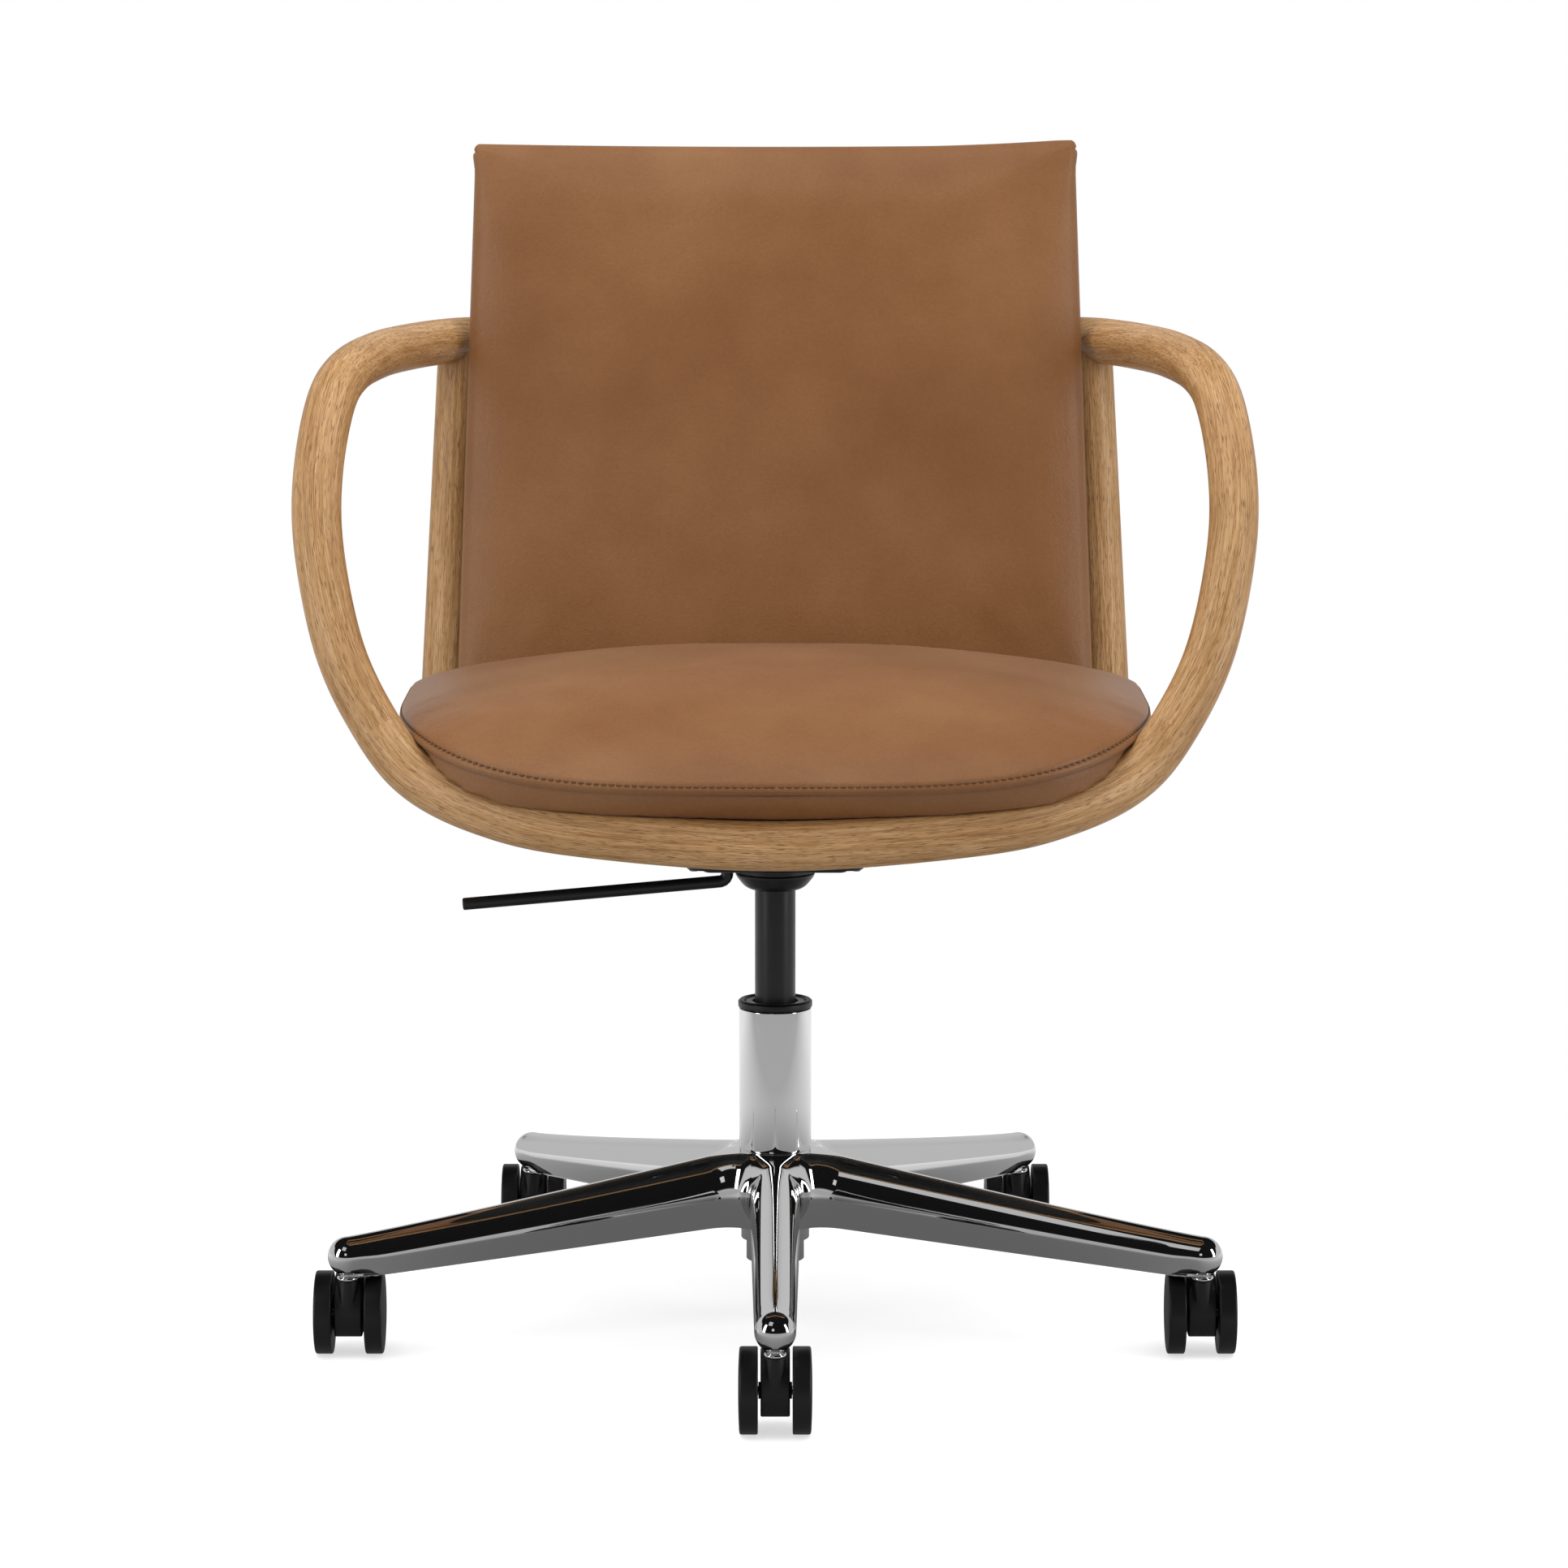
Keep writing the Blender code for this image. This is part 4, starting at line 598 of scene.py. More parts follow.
def build_oak():
    """The loop in its six members, then the rear rail and the two posts."""
    count = len(LOOP)
    low, high, rear = loop_marks(LOOP)
    spans = [
        ("front_rail", -low, low),
        ("arm_riser_left", low, high),
        ("arm_top_left", high, rear),
        ("back_rail", rear, count - rear),
        ("arm_top_right", -rear, -high),
        ("arm_riser_right", -high, -low),
    ]
    for name, first, last in spans:
        picked = np.unique(np.append(np.arange(first, last, 2), last))
        rows = picked % count
        piece = wood_piece(f"oak_{name}", LOOP[rows], first * LOOP_STEP, LOOP_WAYS[rows])
        settle(piece, "seat", "oak", name)

    rise = REAR_BEND + REAR_SPLICE_RISE
    axis = unit(POST_TOP - POST_FOOT)
    top = POST_FOOT + axis * rise / axis[2]
    bend_top = POST_FOOT + (top - POST_FOOT) * REAR_BEND / rise
    flat_end = POST_FOOT - (REAR_BEND, 0, 0)
    t = np.linspace(0, 1, 24)[:, None]
    curve = flat_end * (1 - t) ** 2 + POST_FOOT * 2 * t * (1 - t) + bend_top * t * t
    middle = np.array([[0, POST_FOOT[1], POST_FOOT[2]]])
    half = resample(np.concatenate([middle, curve, [top]]), 0.004)
    rail = np.concatenate([(half * (-1, 1, 1))[::-1][:-1], half])
    rail_piece = wood_piece("oak_rear_rail", rail, 5.0, reference=(0, -1, 0.1))
    settle(rail_piece, "seat", "oak", "rear_rail")
    for side, label in ((1, "left"), (-1, "right")):
        path = resample(np.array([top, POST_TOP + axis * 0.004]) * (side, 1, 1), 0.008)
        piece = wood_piece(f"oak_post_{label}", path, 7.0 + side, reference=(0, -1, 0.1))
        settle(piece, "seat", "oak", f"back_post_{label}")


# Seat

def plan(angle, half, front, rear, share=1.0, fullness=2.9):
    """A superellipse in plan, fuller behind: x = half |cos|^e, y = depth |sin|^e."""
    c, s = np.cos(angle), np.sin(angle)
    e = np.where(s > 0, 2 / REAR_FULLNESS, 2 / fullness)
    depth = np.where(s > 0, rear - SEAT_MIDDLE_Y, SEAT_MIDDLE_Y - front)
    x = half * np.sign(c) * np.abs(c) ** e * share
    y = SEAT_MIDDLE_Y + depth * np.sign(s) * np.abs(s) ** e * share
    return x, y


def seam_plan(angle, share=1.0):
    """The cushion's outline at its seam, or a smaller copy of it."""
    return plan(angle, SEAM_HALF_WIDTH, SEAM_FRONT_Y, SEAT_REAR_Y, share, SEAM_FULLNESS)


def seam_lift(angle):
    """The seam's rise from the front's middle: even powers of the turn t, then peak * sin(t)^3."""
    t = np.abs(np.arctan2(np.cos(angle), -np.sin(angle)))
    rise = sum(part * t ** (2 * k) for k, part in enumerate(SEAM_LIFT, 1))
    return np.where(t > math.pi / 2, SEAM_PEAK * np.sin(t) ** 3, rise)


def even_angles(count):
    """Angles whose points lie at even spacing round the seat's seam."""
    dense = np.linspace(0, TAU, 20001)
    x, y = seam_plan(dense)
    run = np.concatenate([[0], np.cumsum(np.hypot(np.diff(x), np.diff(y)))])
    return np.interp(np.arange(count) * run[-1] / count, run, dense), run[-1]


def seam_line(angle):
    """The stitched seam: lowest in front, lifting towards both sides."""
    x, y = seam_plan(angle)
    return np.stack([x, y, SEAM_Z + seam_lift(angle)], -1)


def pan_ring(angle, share, lift=0.0):
    """A ring of the pan's dish: flat in the middle, rising smoothly to its rim."""
    x, y = plan(angle, SEAT_HALF_WIDTH - PANEL_DRAW_IN, SEAM_FRONT_Y + PANEL_DRAW_IN,
                SEAT_REAR_Y - PANEL_DRAW_IN_REAR, share)
    rise = smooth((share - PAN_FLAT_SHARE) / (1 - PAN_FLAT_SHARE))
    z = PAN_FLOOR + (PAN_RIM_TOP - PAN_FLOOR) * rise + lift
    return np.stack([x, y, np.full_like(x, z)], -1)


def puff(piece, pinned, pressure, cap, frames=20):
    """Let cloth under pressure find its shape; no point moves further than the cap."""
    group = piece.vertex_groups.new(name="sewn")
    group.add(pinned.tolist(), 1.0, "REPLACE")
    cloth = piece.modifiers.new("cloth", "CLOTH")
    cloth.settings.quality = 6
    cloth.settings.use_pressure = True
    cloth.settings.uniform_pressure_force = pressure
    cloth.settings.effector_weights.gravity = 0.0
    cloth.settings.vertex_group_mass = "sewn"
    cloth.point_cache.frame_end = frames
    for number in range(1, frames + 1):
        bpy.context.scene.frame_set(number)
    before = mesh_points(piece.data)
    shape = piece.evaluated_get(bpy.context.evaluated_depsgraph_get()).to_mesh()
    move = mesh_points(shape) - before
    far = np.linalg.norm(move, axis=1, keepdims=True)
    move *= cap * np.tanh(far / cap) / np.maximum(far, 1e-9)
    piece.modifiers.remove(cloth)
    piece.vertex_groups.clear()
    bpy.context.scene.frame_set(1)
    piece.data.vertices.foreach_set("co", (before + move).ravel())
    piece.data.update()


def clear_of_wood(points):
    """Leather that meets the loop is pressed back onto the wood's surface."""
    way = points[:, None] - LOOP[None, ::2]
    far = np.linalg.norm(way, axis=2)
    row = np.arange(len(points))
    closest = np.argmin(far, axis=1)
    way, far = way[row, closest], far[row, closest]
    lack = np.maximum(WOOD_RADIUS + LEATHER_OFF_WOOD - far, 0)
    return points + way / far[:, None] * lack[:, None]


def along_path(path, share):
    """The places at a share of the length of each of the path's lines."""
    steps = np.diff(path, axis=0)
    run = np.cumsum(np.linalg.norm(steps, axis=2), axis=0)
    run = np.concatenate([np.zeros((1, run.shape[1])), run]) / run[-1]
    done = np.clip((share - run[:-1]) / np.diff(run, axis=0), 0, 1)
    return path[0] + (steps * done[..., None]).sum(0)


def outside(vectors, places):
    """Vectors turned over where they point towards the seat's middle."""
    inwards = ((places - (0, SEAT_MIDDLE_Y, 0)) * vectors).sum(1) < 0
    return vectors * np.where(inwards, -1, 1)[:, None]


def under_path(angle, seam, base, outward):
    """Lines from the pan's rim to the seam; in front they pass over the rail that carries them.

    Beside a point of the loop with tangent T, the leather lies on the wood at centre + R (up cos a
    + out sin a), from a on the inner side to a lean on the outer one. Elsewhere it is the curve
    (1 - t)^2 base + 2 t (1 - t) C + t^2 seam, with C below the seam.
    """
    near = np.argmin(np.linalg.norm(seam[:, None] - LOOP[None], axis=2), axis=1)
    ways, centre = LOOP_WAYS[near], LOOP[near]
    up = unit(np.array((0, 0, 1)) - ways * ways[:, 2:])
    out = outside(np.cross(ways, up), centre)
    turn = np.abs(np.arctan2(np.cos(angle), -np.sin(angle)))
    lean = np.interp(turn, LEAN_TURNS, LEANS)
    a = ARC_START + np.maximum(lean - ARC_START, 0.05) * np.linspace(0, 1, 15)[:, None]
    reach = WOOD_RADIUS + ARC_OFF_WOOD
    arc = centre + reach * (up * np.cos(a)[..., None] + out * np.sin(a)[..., None])
    arc = sum(np.roll(arc, k, axis=1) for k in range(-5, 6)) / 11
    t = np.linspace(0, 1, 33)[:, None, None]
    bend = seam - (0, 0, BEND_DROP) - outward * BEND_INSET
    free = (1 - t) ** 2 * base + 2 * t * (1 - t) * bend + t * t * seam
    carried = np.concatenate([base[None], arc, seam[None]])
    hold = smooth((HOLD_END - turn) / HOLD_SPAN)[:, None]
    shares = np.linspace(0, 1, 60)
    free, carried = (np.array([along_path(path, s) for s in shares]) for path in (free, carried))
    return free + (carried - free) * hold, turn


def seat_rings(angle):
    """The cushion's rings from the pan's middle, round the seam, to the crown's middle."""
    seam = seam_line(angle)
    base = pan_ring(angle, 1.0, GAP)
    outward = unit((seam - base) * (1, 1, 0))
    rings = [pan_ring(angle, share, GAP) for share in PAN_SHARES] + [base]
    # the lower panel drops steeply from the seam, then draws in; a second seam lies just below
    path, turn = under_path(angle, seam, base, outward)
    fold = 1 - SEAM_STRIP / np.linalg.norm(np.diff(path, axis=0), axis=2).sum(0)
    crease = CREASE_DEPTH * np.clip((1.35 - turn) / 0.35, 0, 1)[:, None]
    held = SIDE_BULGE * np.clip((HOLD_END - turn) / HOLD_SPAN, 0, 1)[:, None]

    def lower(t):
        bulge = np.sin(math.pi * np.clip((t / fold - 0.72) / 0.28, 0, 1))[:, None]
        return clear_of_wood(along_path(path, t) + outward * held * bulge)

    rings += [lower(share * fold) for share in np.linspace(0.04, 0.98, 26)]
    rings.append(lower(fold) - outward * crease)
    for part in (0.08, 0.25, 0.5, 0.75, 0.92):
        swell = STRIP_SWELL * math.sin(math.pi * part)
        rings.append(lower(fold + (1 - fold) * part) + outward * swell)
    rings.append(seam - outward * 0.0006 + (0, 0, 0.0001))
    # the crown: height (1 - s^2.3)^0.62 above the seam at share s
    for share in (0.998, 0.994, 0.987, 0.978, 0.965, 0.945, 0.92, 0.885, 0.84, 0.79, 0.73,
                  0.66, 0.58, 0.49, 0.39, 0.28, 0.16, 0.0):
        x, y = seam_plan(angle, share)
        z = SEAM_Z + seam_lift(angle) * share ** 5 + SEAT_CROWN * (1 - share ** 2.3) ** 0.62
        rings.append(np.stack([x, y, z], -1))
    return np.array(rings)


def height_of_seam(places):
    """The seam's height in the direction of each place."""
    ahead = places[:, 1] < SEAT_MIDDLE_Y
    depth = np.where(ahead, SEAT_MIDDLE_Y - SEAM_FRONT_Y, SEAT_REAR_Y - SEAT_MIDDLE_Y)
    power = np.where(ahead, SEAM_FULLNESS, REAR_FULLNESS) / 2
    c = (np.abs(places[:, 0]) / SEAM_HALF_WIDTH) ** power
    s = (np.abs(places[:, 1] - SEAT_MIDDLE_Y) / depth) ** power
    return SEAM_Z + seam_lift(np.arctan2(np.where(ahead, -s, s), c))


def stitch_grids(length):
    """Round the seam, a stitch every 5 mm, each a short thread that dips at both ends."""
    number = round(length / STITCH_PITCH)
    centre = seam_line(even_angles(number)[0]) + (0, 0, STITCH_LIFT)
    along = unit(np.roll(centre, -1, 0) - np.roll(centre, 1, 0))
    out = outside(unit(np.cross(along, (0, 0, 1))), centre)
    up = unit(np.cross(along, out))
    u = np.array((-1.0, -0.8, -0.3, 0.3, 0.8, 1.0))
    thick = STITCH_RADIUS * np.array((0.15, 0.75, 1.0, 1.0, 0.75, 0.15))
    dip = 0.0001 - 0.0008 * u ** 4
    ring = circle(6)[None, :, None]
    grids = []
    for k in range(number):
        spine = centre[k] + along[k] * (u[:, None] * STITCH_HALF_LENGTH) + out[k] * dip[:, None]
        loop = np.cos(ring) * out[k] + np.sin(ring) * up[k]
        grids.append((spine[:, None] + loop * thick[:, None, None], True, False))
    return grids


def build_seat():
    """The seat cushion, its stitches and the pan below it."""
    angle, length = even_angles(300)
    cushion = make_piece("leather_seat", [(seat_rings(angle), True, False)], LEATHER, 60.0)
    places = mesh_points(cushion.data)
    sewn = places[:, 2] < height_of_seam(places) + SEWN_RISE
    puff(cushion, np.flatnonzero(sewn), 1.2, 0.0012)
    settle(cushion, "seat", "leather", "seat_cushion")
    stitches = make_piece("seat_stitches", stitch_grids(length), THREAD, 60.0)
    settle(stitches, "seat", "leather")

    half = SEAT_HALF_WIDTH - PANEL_DRAW_IN + PAN_RIM_REACH
    rim_x, rim_y = plan(angle, half, PAN_FRONT_Y, PAN_REAR_Y)
    rim = np.stack([rim_x, rim_y, np.full_like(rim_x, PAN_RIM_TOP)], -1)
    top = [pan_ring(angle, share) for share in (*PAN_SHARES, 1.0)] + [rim]
    under = [ring - (0, 0, PAN_THICKNESS) for ring in reversed(top)]
    pan = make_piece("pan_shell", [(np.array(top + under), True, False)], BOARD_BLACK, 40.0)
    settle(pan, "seat", "board", "seat_pan")


# Back

def back_plane_y(z):
    """The back panel's rear face: it leans with the posts and touches their fronts."""
    lean = (POST_TOP[1] - POST_FOOT[1]) / (POST_TOP[2] - POST_FOOT[2])
    return POST_TOP[1] - (POST_TOP[2] - z) * lean - WOOD_RADIUS / math.cos(POST_LEAN) - GAP


def back_half_width(z):
    """Half the pad's width at a height: a spread downwards, and the sewn corners at the top."""
    v = (z - BACK_BOTTOM) / (BACK_TOP - BACK_BOTTOM)
    below = BACK_TOP - z
    ear = 0.0016 * np.exp(-((below - 0.0085) / 0.006) ** 2)
    nose = 0.0006 * np.exp(-(below / 0.003) ** 2)
    notch = -0.0011 * np.exp(-((below - 0.0056) / 0.0009) ** 2)
    above = np.clip(BACK_CORNER - below, 0, BACK_CORNER)
    turn = BACK_CORNER - np.sqrt(BACK_CORNER ** 2 - above ** 2)
    return BACK_TOP_HALF_WIDTH + BACK_SPREAD * (1 - v) + ear + nose + notch - turn


def edge_shares(count, fine):
    """Shares from -1 to 1, with rows close together at both edges."""
    t = np.linspace(0, 1, count)
    inner = np.sin((t - 0.5) * math.pi)
    return np.unique(np.concatenate([inner, -1 + fine, 1 - fine]))


def pillow(name, inset, rear_y, thick, crown, rounding):
    """Two sheets that meet all round: depth = thick * round edge, plus a crown on the first."""
    fine = np.array((0.0004, 0.0015, 0.004, 0.008, 0.014, 0.022, 0.032))
    u, w = edge_shares(60, fine), edge_shares(54, fine)
    extra = BACK_TOP - np.array((0.0040, 0.0048, 0.0056, 0.0064, 0.0072))
    extra = (extra - (BACK_TOP + BACK_BOTTOM) / 2) / ((BACK_TOP - BACK_BOTTOM) / 2)
    w = np.unique(np.concatenate([w, extra]))
    u, w = np.meshgrid(u, w)
    v = (w + 1) / 2
    low, high = BACK_BOTTOM + inset, BACK_TOP - inset
    z = low + (high - low) * v - BACK_TOP_DIP * (1 - u * u) * np.clip((v - 0.8) / 0.2, 0, 1)
    half = back_half_width(z) - inset
    x = u * half
    edge = np.minimum((1 - np.abs(u)) * half, (1 - np.abs(w)) * (high - low) / 2)
    near = 1 - np.clip(edge / rounding, 0, 1)
    round_edge = thick / 2 * np.sqrt(1 - near ** 2)
    swell = crown * np.sqrt((1 - u ** 6) * (1 - w ** 6))
    middle = back_plane_y(z) + rear_y - thick / 2
    lift = BACK_LIFT + BACK_CORNER_LIFT * np.clip((u - 0.5) / 0.45, 0, 1) ** 1.5
    z = z + lift * np.clip((v - 0.85) / 0.15, 0, 1) ** 2
    sheets = [np.stack([x, y, z], -1) for y in (middle - round_edge - swell, middle + round_edge)]
    return make_piece(name, [(sheet, False, False) for sheet in sheets], LEATHER, 60.0)


def build_back():
    """The back pad in front and, behind it, the leather-covered panel with its four bosses."""
    pad = pillow("leather_back", 0.0, -PANEL_THICKNESS - GAP, PAD_EDGE, PAD_CROWN, 0.0065)
    places = mesh_points(pad.data)
    front = back_plane_y(places[:, 2]) - PANEL_THICKNESS - PAD_EDGE - FREE_DEPTH
    puff(pad, np.flatnonzero(places[:, 1] > front), 1.0, 0.0007)
    settle(pad, "seat", "leather", "back_cushion")
    shell = pillow("leather_back_shell", PANEL_INSET, 0.0, PANEL_THICKNESS, 0.0, 0.0035)
    bosses = []
    half, deep = 0.0090, 0.0070
    outline = rounded_rectangle(half, deep + PANEL_THICKNESS / 4, 0.0045)
    for side, z in ((side, z) for side in (-1, 1) for z in BOSS_HEIGHTS):
        share = (z - POST_FOOT[2]) / (POST_TOP[2] - POST_FOOT[2])
        axis = POST_FOOT + (POST_TOP - POST_FOOT) * share
        face = axis[0] - WOOD_RADIUS - GAP
        plane = back_plane_y(axis[2])
        x = face - np.array((0.0180, 0.0172, 0.0168, 0.0))
        shrink = 1 - np.array((0.09, 0.025, 0.0, 0.0))
        grid = np.empty((4, len(outline), 3))
        grid[..., 0] = side * x[:, None]
        grid[..., 1] = plane + deep - PANEL_THICKNESS / 4 + shrink[:, None] * outline[:, 1]
        grid[..., 2] = axis[2] + shrink[:, None] * outline[:, 0] * 0.010 / half
        bosses.append(make_piece(f"boss_{side}_{z}", [(grid, True, False)], LEATHER))
    carve(shell, bosses)
    settle(shell, "seat", "leather", "back_panel")


# Star base

def leg_share(r):
    """0 at the caster's stem, 1 at the hub."""
    return np.clip((BASE_RADIUS - r) / (BASE_RADIUS - LEG_ROOT_RADIUS), 0, 1)


def half_leg():
    """Columns from a leg's nose to the valley beside it: outline, inner outline, spines."""
    turn = math.pi / CASTER_COUNT
    reach = (VALLEY_RADIUS - LEG_SIDE) / (1 - math.sin(turn))
    fillet = reach - VALLEY_RADIUS
    touch = reach * math.cos(turn)
    nose, side, bend = 16, 44, 26

    def parts(width, tip_r, tip_radius, curve):
        a = np.linspace(0, math.pi / 2, nose)
        tip = np.stack([tip_r + tip_radius * np.cos(a), width(BASE_RADIUS) * np.sin(a)], 1)
        r = tip_r + (touch - tip_r) * np.linspace(0, 1, side)[1:]
        run = np.stack([r, width(r)], 1)
        b = np.linspace(0, math.pi / 2 - turn, bend)[1:]
        centre = reach * np.array((math.cos(turn), math.sin(turn)))
        arc = centre + curve * np.stack([-np.sin(b), -np.cos(b)], 1)
        return np.concatenate([tip, run, arc])

    side_end = reach * math.sin(turn) - fillet

    def outer_width(r):
        share = (BASE_RADIUS - r) / (BASE_RADIUS - touch)
        return LEG_TIP_RADIUS + (side_end - LEG_TIP_RADIUS) * share

    outer = parts(outer_width, BASE_RADIUS, LEG_TIP_RADIUS, fillet)
    inner = parts(lambda r: outer_width(r) - LEG_WALL, HOLLOW_END, 0.0, fillet + LEG_WALL)

    def spine(tip_r, hub):
        still = np.full(nose, tip_r)
        r = tip_r + (touch - tip_r) * np.linspace(0, 1, side)[1:]
        t = np.linspace(0, 1, bend)[1:]
        radius = np.concatenate([still, r, hub + (touch - hub) * (1 - t) ** 1.6])
        angle = np.concatenate([np.zeros(nose + side - 1), turn * t ** 1.6])
        return np.stack([radius * np.cos(angle), radius * np.sin(angle)], 1)

    return outer, inner, spine(BASE_RADIUS, HUB_TOP_RADIUS), spine(HOLLOW_END, HUB_BORE_RADIUS)


def build_star():
    """Hub and five legs in one skin, hollow below, with a fillet in each valley."""
    outer, inner, spine, roof = half_leg()
    r = outer[:, 0]
    nose = smooth((r - NOSE_START) / (BASE_RADIUS - NOSE_START))
    spine_r = np.hypot(*spine.T)
    tip_top = LEG_TIP_BOTTOM + 2 * LEG_TIP_RADIUS
    top = tip_top + (LEG_ROOT_TOP - tip_top) * leg_share(spine_r) ** 1.1
    low = LEG_TIP_BOTTOM + (LEG_ROOT_BOTTOM - LEG_TIP_BOTTOM) * leg_share(r)
    side_top = tip_top + (LEG_ROOT_TOP - tip_top) * leg_share(r) ** 1.1
    crease = low + (side_top - low) * (0.44 + 0.06 * nose)
    tangent = unit(np.gradient(outer, axis=0))
    inward = np.stack([-tangent[:, 1], tangent[:, 0]], 1)
    inward[0] = (-1, 0)
    inward *= np.where((inward * (spine - outer)).sum(1) < 0, -1, 1)[:, None]
    tuck = 0.0042 * (1 - nose) + (LEG_TIP_RADIUS - NOSE_FLAT) * nose
    rows = []

    def add(flat, z):
        rows.append(np.concatenate([flat, np.broadcast_to(z, len(flat))[:, None]], 1))

    closed = nose > BALL_WALL_START
    ceiling = np.where(closed, low + 0.0002, np.minimum(top, side_top) - LEG_WALL)
    foot = outer + inward * tuck[:, None]
    add(roof, ceiling)
    add(roof + (inner - roof) * 0.55, ceiling)
    add(roof + (inner - roof) * 0.93, ceiling - np.where(closed, 0, 0.0015))
    add(inner, ceiling - np.where(closed, 0, 0.005))
    add(inner, low + np.where(closed, 0.0001, 0.0008))
    add(inner + (foot - inner) * 0.2, low)
    add(foot + inward * 0.0010, low)
    add(foot + inward * 0.0003, low + 0.0003)
    ball = math.acos(NOSE_FLAT / LEG_TIP_RADIUS)
    for q in (0.0, 0.12, 0.25, 0.4, 0.55, 0.7, 0.82, 0.91, 0.97):
        flat_leg = tuck * (1 - q) ** 1.15
        lift_leg = (crease - low) * (0.03 + 0.97 * q)
        a = ball * (1 - q)
        flat_ball = LEG_TIP_RADIUS * (1 - math.cos(a))
        lift_ball = LEG_TIP_RADIUS * (1 - math.sin(a))
        shift = flat_leg * (1 - nose) + flat_ball * nose
        add(outer + inward * shift[:, None], low + lift_leg * (1 - nose) + lift_ball * nose)
    for q in (0.0, 0.03, 0.07, 0.12, 0.18, 0.25, 0.32, 0.40, 0.48, 0.56, 0.64, 0.72, 0.79, 0.86,
              0.92, 0.96, 1.0):
        a = q * math.pi / 2
        add(outer + (spine - outer) * (1 - math.cos(a)), crease + (top - crease) * math.sin(a))
    half = np.array(rows)
    mirror = half[:, ::-1] * (1, -1, 1)
    leg = np.concatenate([mirror[:, :-1], half], 1)[:, :-1]
    legs = []
    for a in circle(CASTER_COUNT) - math.pi / 2:
        c, s = math.cos(a), math.sin(a)
        legs.append(leg @ np.array(((c, s, 0), (-s, c, 0), (0, 0, 1))))
    skin = np.concatenate(legs, 1)
    boss = turned_grid(rounded([
        (0.0239, 0.0735), (0.0330, 0.0735), (0.0330, 0.118), (0.0239, 0.118),
    ], 0.0015))
    star = make_piece("star_base", [(skin, True, False), (boss, True, True)], ALUMINIUM, 45.0)
    settle(star, "base", "polished_aluminium", "base_star")


# Column

def turned_piece(name, profile, material, body, slot, node, radius=0.0006, closed=True, **place):
    """A turned piece with softened corners; a closed profile runs round a hollow."""
    if closed:
        ends = [profile[-1], *profile, profile[0]]
        curve = rounded(ends, radius)[1:-1]
    else:
        curve = rounded(profile, radius)
    grid = turned_grid(curve, **place)
    piece = make_piece(name, [(grid, True, closed)], material, 50.0)
    return settle(piece, body, slot, node)


def build_column():
    """Chromed tube, collar and washer, black gas cylinder and the bowl that grips its head."""
    turned_piece("chrome_tube", [
        (0.0043, 0.0480), (0.0200, 0.0480), (0.0200, 0.0630), (0.0236, 0.0630), (0.0236, 0.1265),
        (0.0250, 0.1265), (0.0250, 0.2250), (0.0218, 0.2250), (0.0218, 0.0670), (0.0182, 0.0670),
        (0.0182, 0.0520), (0.0043, 0.0520),
    ], CHROME, "base", "chrome", "stand_tube", 0.0005)
    turned_piece("collar_ring", [
        (0.0145, 0.2253), (0.0246, 0.2253), (0.0256, 0.2262), (0.0256, 0.2297), (0.0242, 0.2309),
        (0.0222, 0.2309), (0.0214, 0.2300), (0.0206, 0.2283), (0.0145, 0.2283),
    ], NYLON, "base", "black_plastic", "tube_collar", 0.0004)
    turned_piece("collar_washer_ring", [
        (0.0158, 0.2286), (0.0203, 0.2286), (0.0203, 0.2298), (0.0158, 0.2298),
    ], WASHER_GREY, "base", "grey_plastic", "collar_washer", 0.0003)
    turned_piece("gas_tube", [
        (0.0055, 0.1370), (0.0140, 0.1370), (0.0140, 0.3222), (0.0045, 0.3222), (0.0045, 0.3080),
        (0.0118, 0.3080), (0.0118, 0.1430), (0.0055, 0.1430),
    ], CYLINDER_BLACK, "seat", "black_steel", "gas_cylinder", 0.0008)
    turned_piece("head_bowl", [
        (0.0143, 0.3085), (0.0174, 0.3085), (0.0194, 0.3093), (0.0218, 0.3110), (0.0240, 0.3136),
        (0.0260, 0.3162), (0.0272, 0.3180), (0.0275, 0.3197), (0.0143, 0.3197),
    ], POWDER, "seat", "black_steel", "plate_hub", 0.0012)


def rounded_rectangle(half_width, half_depth, corner):
    """A rectangle's outline with quarter circles at its corners."""
    a = np.arange(4)[:, None] * math.pi / 2 + np.linspace(0, math.pi / 2, 10)[None]
    sx = np.array((1, -1, -1, 1))[:, None]
    sy = np.array((1, 1, -1, -1))[:, None]
    x = sx * (half_width - corner) + corner * np.cos(a)
    y = sy * (half_depth - corner) + corner * np.sin(a)
    return np.stack([x.ravel(), y.ravel()], 1)


